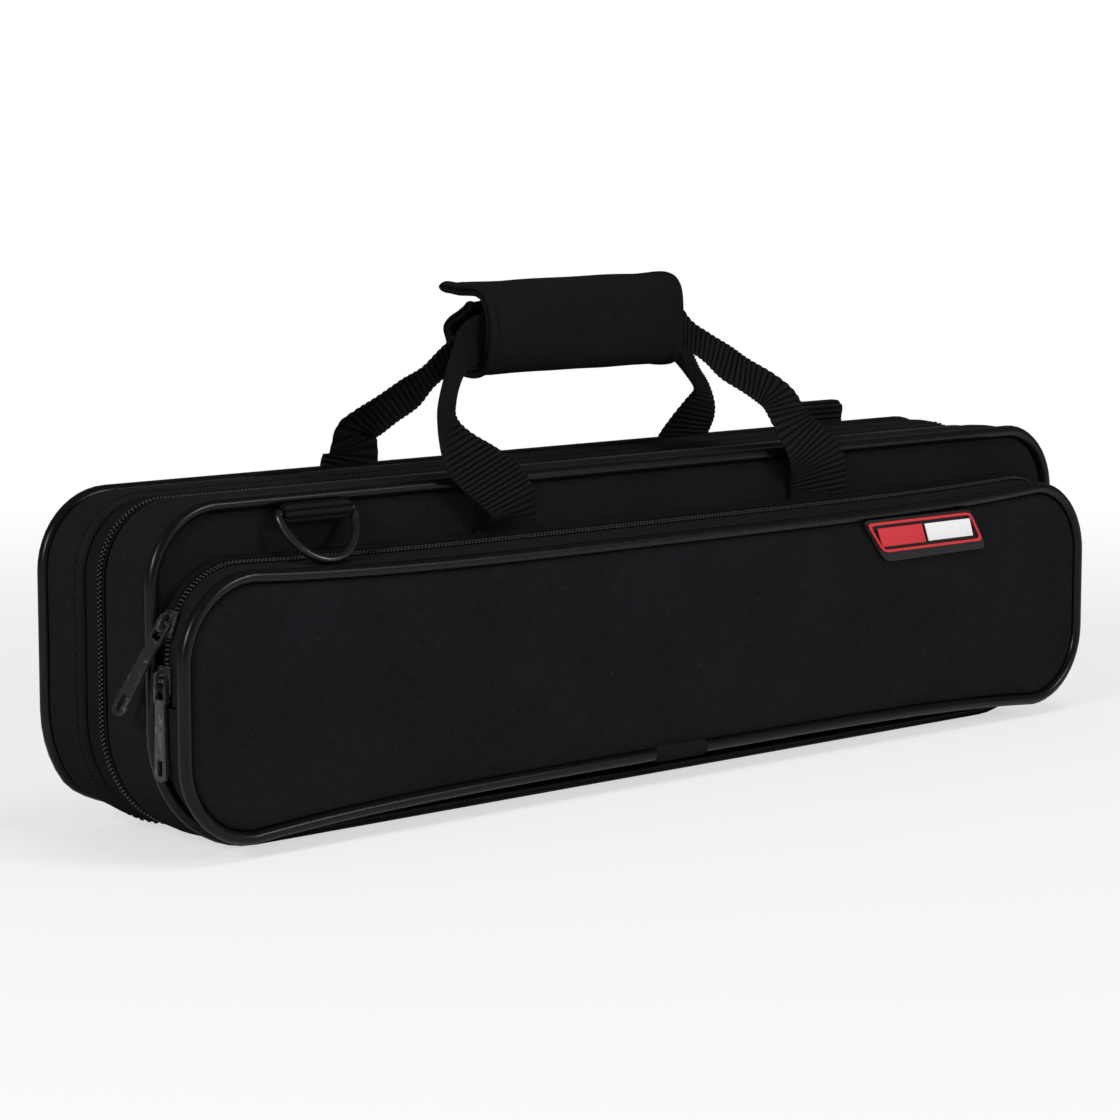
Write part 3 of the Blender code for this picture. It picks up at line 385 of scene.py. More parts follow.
def tape_cloth():
    """Zip tape: a fine herringbone, with painted shade where the tape lies in a crease."""
    finish = Finish("zip_tape_cloth", Roughness=0.85, Specular_IOR_Level=0.02)
    u, v = finish.cloth()
    turn = 2 * math.pi / (0.55 * MM)
    fold = (v * (math.pi / (3.2 * MM))).sine().maths("ABSOLUTE")
    bone = ((u + fold * (0.5 * MM)) * turn).sine()
    fuzz = finish.noise(1800, 2)
    base = sizes().fabric_colour
    # Painted shade: the light kept on each point of the tape darkens its colour in the creases
    # and near the teeth.
    share = finish.rib() * (bone * 0.12 + fuzz * 0.35 + 0.4)
    finish.colour(finish.blend(share, lighter(base, 0.06), lighter(base, 1.55)))
    return finish.bump(bone * 0.5 + fuzz * 0.3, 0.05 * MM)


def vinyl():
    """Glossy piping: smooth vinyl with faint waves and handling marks."""
    finish = Finish("piping_vinyl", Specular_IOR_Level=0.19)
    waves = finish.noise(160, 3)
    marks = finish.noise(900, 5).above(0.66, 0.08)
    base = sizes().piping_colour
    finish.colour(finish.blend(waves, lighter(base, 0.75), lighter(base, 1.4)))
    finish.rough(0.24 + waves * 0.08 + marks * 0.1)
    return finish.bump(waves * 0.7 + finish.noise(2400, 2) * 0.12, 0.04 * MM)


def ribbed():
    """Polypropylene webbing: yarn along the strap over its modelled ribs, with painted shade in
    the grooves between them.
    """
    finish = Finish("strap_webbing", Specular_IOR_Level=0.07)
    u, v = finish.cloth()
    # The rib height, stepped: 1 on a ridge, 0 in a groove, where shade is painted into the
    # colour.
    ridge_light = finish.rib().above(0.5, 0.45)
    yarn = (v * (2 * math.pi / (0.8 * MM))).sine()
    twist = ((u + v * 0.6) * (2 * math.pi / (0.42 * MM))).sine()
    fuzz = finish.noise(1700, 3)
    cloudy = finish.noise(60, 2)
    base = sizes().webbing_colour
    share = ridge_light * (yarn * 0.15 + fuzz * 0.35 + cloudy * 0.2 + 0.35)
    finish.colour(finish.blend(share, lighter(base, 0.08), lighter(base, 1.55)))
    finish.rough(0.6 + fuzz * 0.22)
    return finish.bump(yarn * 0.5 + twist * 0.25 + fuzz * 0.3, 0.07 * MM)


def thread():
    """Twisted polyester thread."""
    finish = Finish("sewing_thread", Specular_IOR_Level=0.03)
    twist = finish.node(
        "ShaderNodeTexWave",
        {"wave_type": "BANDS", "bands_direction": "DIAGONAL"},
        {"Vector": finish.place(), "Scale": 900, "Distortion": 1},
    )
    finish.colour(finish.blend(twist, (0.006, 0.0056, 0.006), (0.016, 0.015, 0.0155)))
    finish.rough(0.5 + twist * 0.2)
    return finish.bump(twist, 0.04 * MM)


def coil():
    """Nylon zip teeth."""
    finish = Finish("zip_coil", Specular_IOR_Level=0.25)
    wear = finish.noise(700, 2)
    finish.colour(finish.blend(wear, (0.014, 0.014, 0.015), (0.055, 0.055, 0.058)))
    finish.rough(0.34 + wear * 0.16)
    return finish.bump(wear, 0.02 * MM)


def metal(name, base, bright, metallic):
    """Black coated metal with a few rubbed places."""
    finish = Finish(name, Metallic=metallic, Specular_IOR_Level=0.5)
    rub = finish.noise(420, 6).above(0.63, 0.07)
    grain = finish.noise(3000, 2)
    share = rub * 0.4 + grain * 0.2
    finish.colour(finish.blend(share, base, (bright, bright, bright)))
    finish.rough(0.2 + grain * 0.12 - rub * 0.05)
    return finish.bump(grain * 0.4 + rub * 0.4, 0.02 * MM)


def rubber(name, roughness, colour=None):
    """Moulded soft rubber with a fine matte grain, in the badge's colour or another."""
    colour = colour or sizes().badge_colour
    finish = Finish(name, Specular_IOR_Level=0.3)
    grain = finish.noise(5200, 3)
    dull = finish.noise(260, 3)
    finish.colour(finish.blend(dull, lighter(colour, 0.9), lighter(colour, 1.08)))
    finish.rough(roughness + dull * 0.12)
    return finish.bump(grain, 0.025 * MM)


def pile(name, colour):
    """Short plush pile, brushed in patches."""
    finish = Finish(
        name, Roughness=0.95, Specular_IOR_Level=0.15, Sheen_Weight=0.55,
        Sheen_Roughness=0.35,
    )
    brushed = finish.noise(32, 4)
    tufts = finish.noise(1500, 4)
    share = brushed * 0.5 + tufts * 0.5
    finish.colour(finish.blend(share, lighter(colour, 0.55), lighter(colour, 1.5)))
    return finish.bump(tufts + brushed * 0.4, 0.5 * MM)


# The maker of each finish, with what it is given
MAKERS = {
    "case_fabric": (fabric,),
    "grip_fabric": (grip_fabric,),
    "zip_tape_cloth": (tape_cloth,),
    "piping_vinyl": (vinyl,),
    "strap_webbing": (ribbed,),
    "sewing_thread": (thread,),
    "zip_coil": (coil,),
    "slider_enamel": (metal, "slider_enamel", (0.012, 0.012, 0.0125), 0.16, 0.35),
    "ring_coating": (metal, "ring_coating", (0.006, 0.006, 0.0063), 0.04, 0.2),
    "badge_rubber": (rubber, "badge_rubber", 0.42, (0.006, 0.006, 0.006)),
    "badge_red": (rubber, "badge_red", 0.38),
    "badge_white": (rubber, "badge_white", 0.4, (0.7, 0.7, 0.7)),
    "plush_pile": (pile, "plush_pile", (0.03, 0.03, 0.034)),
}


def finish_named(name):
    made = bpy.data.materials.get(name)
    if made:
        return made
    maker, *given = MAKERS[name]
    return maker(*given)


# Mesh helpers. Points nearer than this are one, on a closing line and in a CAD mesh.
SAME_PLACE = 1e-7
NEAR = 1e-6


def ramp(value, low, high):
    """An eased share between two values, from 0 at the first to 1 at the second."""
    share = min(max((value - low) / (high - low), 0), 1)
    return share * share * (3 - 2 * share)


def rear_lift(place):
    """How far the rear half's lower edge is drawn up towards its ends."""
    place = (abs(place.x), place.y, place.z)
    end, back, low = map(ramp, place, REAR_LIFT_FROM, REAR_LIFT_TO)
    return REAR_LIFT * back * low * end


def mesh_of(name, bm):
    mesh = bpy.data.meshes.new(name)
    bm.to_mesh(mesh)
    bm.free()
    return mesh


def linked(name, data):
    obj = bpy.data.objects.new(name, data)
    bpy.context.scene.collection.objects.link(obj)
    return obj


def put(name, bm, finish, slot, body=None, replaces=(), sharp=50):
    """Makes a bmesh a piece that rides on a body and stands for CAD nodes."""
    if body == "rear_half" and slot != "plush":
        for vert in bm.verts:
            vert.co.z += rear_lift(vert.co)
    bmesh.ops.recalc_face_normals(bm, faces=bm.faces)
    mesh = mesh_of(name, bm)
    mesh.shade_smooth()
    mesh.set_sharp_from_angle(angle=math.radians(sharp))
    mesh.materials.append(finish_named(finish))
    obj = linked(name, mesh)
    if body:
        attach(obj, body)
    if replaces:
        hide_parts(*replaces)
    return obj


def heading(rows, index, closed=False):
    """The way in which a run of places goes on at one of them."""
    count = len(rows)
    before = rows[index - 1 if closed or index else 0]
    after = rows[(index + 1) % count if closed else min(index + 1, count - 1)]
    return (Vector(after[:3]) - Vector(before[:3])).normalized()


def arc(centre, radius, start, end, steps):
    """Points on a circle from one angle in degrees to another."""
    angles = [math.radians(start + (end - start) * i / steps) for i in range(steps + 1)]
    return [
        (centre[0] + radius * math.cos(a), centre[1] + radius * math.sin(a))
        for a in angles
    ]


def lengths(points, closed=False):
    """The length along a run at each of its points, and the whole length."""
    places = [Vector(p) for p in points]
    ends = places[1:] + ([places[0]] if closed else [])
    sums = [0.0]
    for a, b in zip(places, ends):
        sums.append(sums[-1] + (b - a).length)
    return (sums[:-1], sums[-1]) if closed else (sums, sums[-1])


def extruded(bm, verts, edges, points):
    """Extrudes a ring of edges and moves it to new points, which keep its order."""
    made = bmesh.ops.extrude_edge_only(bm, edges=edges)["geom"]
    fresh = {item for item in made if isinstance(item, bmesh.types.BMVert)}
    moved = []
    for vert, point in zip(verts, points):
        twins = (edge.other_vert(vert) for edge in vert.link_edges)
        twin = next(twin for twin in twins if twin in fresh)
        twin.co = point
        moved.append(twin)
    loops = [item for item in made if isinstance(item, bmesh.types.BMEdge)]
    return moved, [edge for edge in loops if fresh.issuperset(edge.verts)]


def loft(rings, closed=False, flat=False, seam=False, ribs=None):
    """Extrudes a ring of points through the others, and lays the cloth's UV map.

    u runs through the rings and v round each of them. Where flat is set, faces that
    look along Y take X and Z instead, so that a panel's weave is straight. Where seam
    is set, the first and last ring lie on a line and close along it. ribs holds, for
    the material, the height of the webbing or the light on the tape at every point,
    from 0 to 1."""
    bm = bmesh.new()
    heights = bm.verts.layers.float.new("rib") if ribs else None
    layer = bm.loops.layers.uv.new("weave")
    verts = [bm.verts.new(point) for point in rings[0]]
    first = [bm.edges.new((verts[i - 1], verts[i])) for i in range(len(verts))]
    edges = first
    rows = [verts]
    for ring in rings[1:]:
        moved, edges = extruded(bm, rows[-1], edges, ring)
        rows.append(moved)
    longest = max(range(len(rings)), key=lambda i: lengths(rings[i], True)[1])
    across, girth = lengths(rings[longest], True)
    mean = [sum((Vector(p) for p in ring), Vector()) / len(ring) for ring in rings]
    along, whole = lengths(mean, closed)
    if whole < girth and not closed:
        along = lengths([ring[0] for ring in rings])[0]
    chart = {}
    for row, u in zip(rows, along):
        for vert, v in zip(row, across):
            chart[vert] = (u, v)
    if closed:
        bmesh.ops.bridge_loops(bm, edges=first + edges)
    elif not seam:
        bmesh.ops.contextual_create(bm, geom=first)
        bmesh.ops.contextual_create(bm, geom=edges)
    bm.normal_update()
    for face in bm.faces:
        if flat and abs(face.normal.y) > 0.7:
            for loop in face.loops:
                loop[layer].uv = (loop.vert.co.x, loop.vert.co.z)
            continue
        pairs = [list(chart[loop.vert]) for loop in face.loops]
        for axis, period in ((0, whole if closed else 0), (1, girth)):
            top = max(pair[axis] for pair in pairs)
            for pair in pairs:
                if period and top - pair[axis] > period / 2:
                    pair[axis] += period
        for loop, pair in zip(face.loops, pairs):
            loop[layer].uv = pair
    if ribs:
        for row, values in zip(rows, ribs):
            for vert, value in zip(row, values):
                vert[heights] = value
    if seam:
        for row in (rows[0], rows[-1]):
            bmesh.ops.remove_doubles(bm, verts=row, dist=SAME_PLACE)
    return bm


def corner(half, low, high, radius, index, steps):
    """The arc at one corner, counted clockwise from the bottom left."""
    side = (-1, -1, 1, 1)[index]
    centre = (side * (half - radius), (low + radius, high - radius)[index in (1, 2)])
    start = (270, 180, 90, 0)[index]
    return arc(centre, radius, start, start - 90, steps)


def between(a, b, count, sag=0.0, power=4):
    """Points between two corners, sagging in the middle, without the ends."""
    reach = max(abs(a[0]), abs(b[0]))
    points = []
    for step in range(1, count):
        x = a[0] + (b[0] - a[0]) * step / count
        z = a[1] + (b[1] - a[1]) * step / count
        points.append((x, z - sag * (1 - abs(x / reach) ** power)))
    return points


# Steps round a corner, along a long and a short side, and beside an open end
CORNER_STEPS = 12
LONG_STEPS = 96
SHORT_STEPS = 12
END_STEPS = 4
STOP_STEPS = 5
LEAST_CORNER_SHARE = 0.2


def four_corners(half, low, high, radius, low_radius):
    """The points of the corners, the two lower ones with a radius of their own."""
    least = LEAST_CORNER_SHARE * (high - low)
    radii = [max(r, least) for r in (low_radius, radius, radius, low_radius)]
    return [
        corner(half, low, high, radii[i], i, CORNER_STEPS) for i in range(len(radii))
    ]


def round_top(corners, sag):
    """From the lower left corner over the top to the lower right one."""
    return [
        *corners[0],
        *between(corners[0][-1], corners[1][0], SHORT_STEPS),
        *corners[1],
        *between(corners[1][-1], corners[2][0], LONG_STEPS, sag),
        *corners[2],
        *between(corners[2][-1], corners[3][0], SHORT_STEPS),
        *corners[3],
    ]


def outline(half, low, high, radius, top_sag=0.0, bottom_rise=0.0, low_radius=None):
    """A closed rounded rectangle in X and Z, clockwise from the bottom left."""
    lower = radius if low_radius is None else low_radius
    corners = four_corners(half, low, high, radius, lower)
    return [
        *round_top(corners, top_sag),
        *between(corners[3][-1], corners[0][0], LONG_STEPS, -bottom_rise),
    ]


def case_outline(inset):
    return outline(
        CASE_LENGTH / 2 - inset,
        inset,
        CASE_HEIGHT - inset,
        CORNER_RADIUS - inset,
        low_radius=LOW_CORNER_RADIUS - inset,
    )


def spine(half, low, high):
    """The line on which a panel's rings close, with as many points as an outline."""
    z = (high + low) / 2
    return outline(half - (high - low) / 2, z, z, 0)


def closed_panel(rings, line, first, last):
    """Lofts the rings of a panel between two depths of the line on which they close."""
    rings = [at_depth(line, first), *rings, at_depth(line, last)]
    return loft(rings, flat=True, seam=True)


def zip_way(inset):
    """Round the case from the hinge's one end over the top to its other end."""
    half = CASE_LENGTH / 2 - inset
    top = CASE_HEIGHT - inset
    end = ZIP_END + CLEARANCE
    radii = CORNER_RADIUS - inset, LOW_CORNER_RADIUS - inset
    corners = four_corners(half, inset, top, *radii)
    return [
        (-end, inset),
        *between((-end, inset), corners[0][0], END_STEPS),
        *round_top(corners, 0.0),
        *between(corners[3][-1], (end, inset), END_STEPS),
        (end, inset),
    ]


def pocket_sizes(y, inset):
    """Half length, bottom, top, radius and sags of the pocket's wall at a depth."""
    share = (y - POCKET_Y) / POCKET_DEPTH
    return (
        POCKET_HALF + (SEAM_HALF - POCKET_HALF) * share - inset,
        POCKET_LOW + (SEAM_LOW - POCKET_LOW) * share + inset,
        POCKET_HIGH + (SEAM_HIGH - POCKET_HIGH) * share - inset,
        POCKET_RADIUS - inset,
        POCKET_TOP_SAG + (SEAM_TOP_SAG - POCKET_TOP_SAG) * share,
        POCKET_BOTTOM_RISE + (SEAM_BOTTOM_RISE - POCKET_BOTTOM_RISE) * share,
    )


def pocket_way(y, inset, upper):
    """Round the pocket's top or bottom, between the two zip stops."""
    half, low, high, radius, sag, rise = pocket_sizes(y, inset)
    stop = ZIP_STOP_Z if upper else ZIP_STOP_Z - CLEARANCE
    if not upper:
        radius += (SEAM_LOW_RADIUS - CORNER_RADIUS) * (y - POCKET_Y) / POCKET_DEPTH
    first, second = (1, 2) if upper else (3, 0)
    start = corner(half, low, high, radius, first, CORNER_STEPS)
    end = corner(half, low, high, radius, second, CORNER_STEPS)
    side = -half if upper else half
    return [
        (side, stop),
        *between((side, stop), start[0], STOP_STEPS),
        *start,
        *between(start[-1], end[0], LONG_STEPS, sag if upper else -rise),
        *end,
        *between(end[-1], (-side, stop), STOP_STEPS),
        (-side, stop),
    ]


def at_depth(points, y):
    return [(x, y, z) for x, z in points]


def band(way, section, light=None):
    """Sweeps a section of (y, inset) points along a way that depends on the two.

    light holds how much light reaches each point, for the tape's material."""
    runs = [at_depth(way(y, inset), y) for y, inset in section]
    rings = [list(ring) for ring in zip(*runs)]
    return loft(rings, ribs=[light] * len(rings) if light else None)


def smooth_run(rows, step):
    """A smooth run through rows of numbers, the first three a place, evenly spaced."""
    rows = [rows[0], *rows, rows[-1]]
    made = []
    for a, b, c, d in zip(rows, rows[1:], rows[2:], rows[3:]):
        for count in range(16):
            t = count / 16
            made.append(
                [
                    q
                    + t * (r - p) / 2
                    + t * t * (2 * p - 5 * q + 4 * r - s) / 2
                    + t * t * t * (3 * q - p - 3 * r + s) / 2
                    for p, q, r, s in zip(a, b, c, d)
                ]
            )
    made.append(list(rows[-1]))
    return even_run(made, step)


def even_run(rows, step):
    """The same run with its rows evenly spaced along the first three numbers."""
    table = np.array(rows, float)
    gaps = np.linalg.norm(np.diff(table[:, :3], axis=0), axis=1)
    sums = np.concatenate([[0.0], np.cumsum(gaps)])
    keep = np.concatenate([[True], gaps > 1e-9])
    table, sums = table[keep], sums[keep]
    count = max(2, int(round(sums[-1] / step)) + 1)
    wanted = np.linspace(0, sums[-1], count)
    return [
        [float(np.interp(place, sums, table[:, k])) for k in range(table.shape[1])]
        for place in wanted
    ]


def tube(path, section, closed, up=Vector((0, 1, 0))):
    """Sweeps a section of (side, across) points along a path, turned by up."""
    rings = []
    for index, point in enumerate(path):
        along = heading(path, index, closed)
        side = up.cross(along).normalized()
        across = along.cross(side)
        rings.append([Vector(point) + a * side + b * across for a, b in section])
    return loft(rings, closed)


def circle(radius, sides):
    turn = 2 * math.pi / sides
    return [
        (radius * math.cos(turn * i), radius * math.sin(turn * i)) for i in range(sides)
    ]


# Points over the width of webbing, and how thick it still is near its edges
RIB_STEPS = 4
MEAN_RIB = 0.55
COLUMNS = (-0.5, -0.485, -0.44, -0.4, -0.2, 0.0, 0.2, 0.4, 0.44, 0.485, 0.5)
EASED_EDGE = {0.5: 0.0, 0.485: 0.6, 0.44: 0.9}


def webbing_rings(rows, width, thickness, first=0):
    """Rings of ribbed webbing and the heights of its ribs.

    A row holds a place, the way its width runs, a width share and the share of its
    width, from its first edge on, that shows no ribs."""
    own = sizes()
    run = smooth_run(rows, own.rib_pitch / RIB_STEPS)
    half = thickness / 2
    rings, ribs = [], []
    for index, row in enumerate(run):
        along = heading(run, index)
        way = Vector(row[3:6]).normalized()
        lift = along.cross(way).normalized()
        centre = Vector(row[:3])
        wide = width * row[6]
        wave = abs(math.sin(math.pi * (first + index) / RIB_STEPS)) ** 0.8
        ring, heights = [], []
        for face in (-1, 1):
            for column in COLUMNS if face < 0 else COLUMNS[-2:0:-1]:
                plain = min(max((row[7] * 1.2 - 0.1 - column - 0.5) * 8, 0.0), 1.0)
                rib = wave * (1 - plain) + MEAN_RIB * plain
                height = half + own.rib_height * (rib - MEAN_RIB)
                height *= EASED_EDGE.get(abs(column), 1.0)
                ring.append(centre + way * wide * column + lift * face * height)
                heights.append(rib)
        rings.append(ring)
        ribs.append(heights)
    return rings, ribs


PITCH_STEPS = 4


def bead(long, width, height):
    """One small rounded tooth or stitch as a mesh of a few dozen faces."""
    bm = bmesh.new()
    bmesh.ops.create_uvsphere(bm, u_segments=6, v_segments=4, radius=0.5)
    bmesh.ops.scale(bm, vec=(height, width, long), verts=bm.verts)
    return mesh_of("bead", bm)


def row_of(size, path, pitch, start=0.0):
    """Beads along a path of places and outward ways, as one bmesh.

    start is how far along the first pitch the first one sits."""
    mesh = bead(*size)
    rows = even_run(path, pitch / PITCH_STEPS)
    bm = bmesh.new()
    for index in range(int(round(start * PITCH_STEPS)), len(rows), PITCH_STEPS):
        along = heading(rows, index)
        out = Vector(rows[index][3:6]).normalized()
        side = along.cross(out).normalized()
        out = side.cross(along)
        turn = Matrix((out, side, along)).transposed().to_4x4()
        matrix = Matrix.Translation(Vector(rows[index][:3])) @ turn
        mesh.transform(matrix)
        bm.from_mesh(mesh)
        mesh.transform(matrix.inverted())
    bpy.data.meshes.remove(mesh)
    return bm


def stitches(name, path, body):
    """A sewn row: short stitches along a path of places and outward ways."""
    own = sizes()
    width = 2 * own.thread_radius
    bm = row_of((own.stitch_length, width * 1.3, width), path, own.stitch_pitch)
    return put(name, bm, "sewing_thread", "fabric", body, sharp=180)


def outward_path(points, y, centre=(0.0, CASE_HEIGHT / 2)):
    """Places at one depth with the way out of the outline at each."""
    rows = []
    count = len(points)
    for index, (x, z) in enumerate(points):
        a = points[max(index - 1, 0)]
        b = points[min(index + 1, count - 1)]
        run = Vector((b[0] - a[0], 0, b[1] - a[1]))
        out = Vector((-run.z, 0, run.x)).normalized()
        if out.dot(Vector((x - centre[0], 0, z - centre[1]))) < 0:
            out = -out
        rows.append((x, y, z, *out))
    return rows


def lump(place, scale, size):
    """A soft, fixed unevenness."""
    return size * noise.noise(Vector(place) * scale)


# Covers
WALL_STEPS = 8


def offset_points(outward, *rows):
    """Section points: a depth and millimetres out of it, an inset and more of it."""
    return [(y + outward * off * MM, inset + more * MM) for y, off, inset, more in rows]


def cover(name, node, face, outward, tape_width, body):
    """A foam tray in its fabric: panel, rolled edge, swollen walls and a bound rim."""
    own = sizes()
    panel = face - outward * PANEL_SETBACK
    rebate = face - outward * (PIPING_RADIUS + 2 * CLEARANCE)
    seam = ZIP_Y + outward * (tape_width + CLEARANCE)
    rim = ZIP_Y + outward * 0.5 * MM
    floor = panel - outward * FOAM_PANEL
    wall = DRAWN_IN
    inner = wall + FOAM_WALL
    edge = 2 * PIPING_RADIUS + CLEARANCE
    section = [(floor, inset * MM) for inset in (50, 40, 28, 18, 12)]
    section += offset_points(
        outward,
        (floor, 0.2, inner, 1.2), (floor, -1.2, inner, 0), (rim, 1.2, inner, 0),
        (rim, 0.3, inner, -0.4), (rim, 0, inner, -1.4), (rim, 0, wall, 3),
        (rim, 0.3, wall, 1.8), (seam, -0.2, wall, 2.1), (seam, 0.2, wall, 1.5),
        (seam, 0.5, wall, 0.7), (seam, 1.1, wall, 0.15),
    )
    first_wall = len(section)
    start = seam + outward * 1.9 * MM
    end = rebate - outward * 0.6 * MM
    for step in range(WALL_STEPS + 1):
        share = step / WALL_STEPS
        swell = own.wall_bulge * math.sin(math.pi * share) ** 0.7
        section.append((start + (end - start) * share, wall - swell))
    section += offset_points(
        outward,
        (rebate, -0.15, wall, 0.35), (rebate, 0, wall, 1), (rebate, 0, edge, -1.2),
        (rebate, 0.5, edge, -0.4), (panel, -0.9, edge, -0.1),
        (panel, -0.25, edge, 0.5), (panel, 0, edge, 1.8),
    )
    section += [(panel, inset * MM) for inset in (9, 12, 16, 21, 27, 34, 42, 50)]
    rings = []
    for index, (y, inset) in enumerate(section):
        ring = []
        for x, z in case_outline(inset):
            place = Vector((x, y, z))
            if index >= first_wall and inset < wall + 1 * MM:
                out = Vector((x, 0, z - CASE_HEIGHT / 2)).normalized()
                place += out * lump(place, 45, 0.25 * MM)
            elif index >= first_wall and inset > 6 * MM:
                place.y += outward * lump(place, 28, 0.16 * MM)
            ring.append(place)
        rings.append(ring)
    line = spine(CASE_LENGTH / 2, 0, CASE_HEIGHT)
    bm = closed_panel(rings, line, floor, panel)
    obj = put(name, bm, "case_fabric", "fabric", body, (node,))
    return obj


def cording(name, node, body, way, y):
    """One run of piping, a round glossy cord."""
    bm = tube(at_depth(way, y), circle(PIPING_RADIUS, 16), True)
    put(name, bm, "piping_vinyl", "piping", body, (node,), sharp=80)


def teeth(name, path, body, start):
    bm = row_of(TOOTH_SIZE, path, sizes().tooth_pitch, start)
    put(name, bm, "zip_coil", "zip_tape", body, sharp=180)


class FLUTECASE_OT_covers(bpy.types.Operator):
    """Make the two foam trays in their fabric, with the sewn rows along the zip"""

    bl_idname = "flutecase.covers"
    bl_label = "Covers"

    def execute(self, context):
        cover("rear_cover", "rear_shell", REAR_Y, 1, REAR_TAPE_WIDTH, "rear_half")
        cover("lid_cover", "lid_shell", LID_Y, -1, LID_TAPE_WIDTH, "lid")
        way = zip_way(DRAWN_IN - 0.45 * MM)
        stitches("rear_seam_stitches", outward_path(way, REAR_STITCHES_Y), "rear_half")
        stitches("lid_seam_stitches", outward_path(way, LID_STITCHES_Y), "lid")
        return {"FINISHED"}


SLEEVE_STEPS = 24
SLEEVE_SIDES = 20


class FLUTECASE_OT_piping(bpy.types.Operator):
    """Make the three runs of glossy piping and the sleeve over the pocket's joint"""

    bl_idname = "flutecase.piping"
    bl_label = "Piping"

    def execute(self, context):
        way = case_outline(PIPING_RADIUS)
        cording("rear_cord", "rear_piping", "rear_half", way, REAR_Y)
        cording("lid_cord", "lid_piping", "lid", way, LID_Y)
        way = outline(*pocket_sizes(POCKET_Y, 0))
        cording("pocket_cord", "pocket_piping", "pocket_front", way, POCKET_Y)
        self.sleeve()
        return {"FINISHED"}

    def sleeve(self):
        """A folded scrap of fabric round the joint, its ends a little gathered."""
        low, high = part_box("piping_sleeve")
        z = POCKET_LOW + POCKET_BOTTOM_RISE
        rings = []
        for step in range(SLEEVE_STEPS + 1):
            share = step / SLEEVE_STEPS
            x = low.x + (high.x - low.x) * share
            end = min(share, 1 - share)
            radius = PIPING_RADIUS + (0.75 - 0.5 * math.exp(-end * 40)) * MM
            ring = []
            for turn in range(SLEEVE_SIDES):
                angle = 2 * math.pi * turn / SLEEVE_SIDES
                reach = radius + lump((x * 60, angle, 3), 1, 0.25 * MM)
                ring.append(
                    (x, POCKET_Y + reach * math.cos(angle), z + reach * math.sin(angle))
                )
            rings.append(ring)
        put("joint_sleeve", loft(rings), "case_fabric", "fabric", "pocket_front",
            ("piping_sleeve",))


# The light on the points of each tape's section, from its seam to its teeth and back
TAPE_LIGHT = (0, 0, 1, 1, 0.2, 0, 0, 0)
POCKET_TAPE_LIGHT = (0.1, 1, 1, 0.5, 0, 0, 0, 0)
HINGE_STEPS = 24
HINGE_COLUMNS = 60


class FLUTECASE_OT_main_zip(bpy.types.Operator):
    """Make the main zip's two tapes with their rows of teeth, and the hinge strip"""

    bl_idname = "flutecase.main_zip"
    bl_label = "Main Zip"

    def execute(self, context):
        for name, node, side, width, body in (
            ("rear", "zip_rear_half", 1, REAR_TAPE_WIDTH, "rear_half"),
            ("lid", "zip_lid_half", -1, LID_TAPE_WIDTH, "lid"),
        ):
            sunk = DRAWN_IN + TAPE_SINK
            under = sunk + 0.6 * MM
            meet = ZIP_Y + side * TAPE_GAP
            far = ZIP_Y + side * width
            section = [
                (far, sunk + 0.85 * MM),
                (far - side * width * 0.13, sunk + 0.3 * MM),
                (far - side * width * 0.2, sunk + 0.1 * MM),
                (ZIP_Y + side * 1.5 * MM, sunk + 0.05 * MM),
                (ZIP_Y + side * 1.25 * MM, sunk + 0.1 * MM),
                (meet, sunk + 0.3 * MM),
                (meet, under),
                (far, under + 0.1 * MM),
            ]
            bm = band(lambda y, inset: zip_way(inset), section, TAPE_LIGHT)
            put(f"main_tape_{name}", bm, "zip_tape_cloth", "zip_tape", body, (node,))
            rows = outward_path(zip_way(sunk - 0.1 * MM), ZIP_Y + side * TEETH_OUT)
            teeth(f"main_teeth_{name}", rows, body, 0.0 if side > 0 else 0.5)
        self.hinge()
        return {"FINISHED"}

    def hinge(self):
        """A fabric strip sewn under both rims, where the lid turns."""
        low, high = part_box("hinge_strip")
        mid = (low.z + high.z) / 2
        thick = (high.z - low.z) / 2
        rings = []
        for step in range(HINGE_STEPS + 1):
            y = low.y + (high.y - low.y) * step / HINGE_STEPS
            ring = []
            for x_step in range(HINGE_COLUMNS + 1):
                x = low.x + (high.x - low.x) * x_step / HINGE_COLUMNS
                ring.append((x, y, mid + thick - lump((x, y, 0), 90, 0.1 * MM)))
            ring += [(x, y, z - 2 * thick) for x, y, z in ring[::-1]]
            rings.append(ring)
        obj = put("hinge_cloth", loft(rings), "case_fabric", "fabric", None,
                  ("hinge_strip",))
        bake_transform(obj)


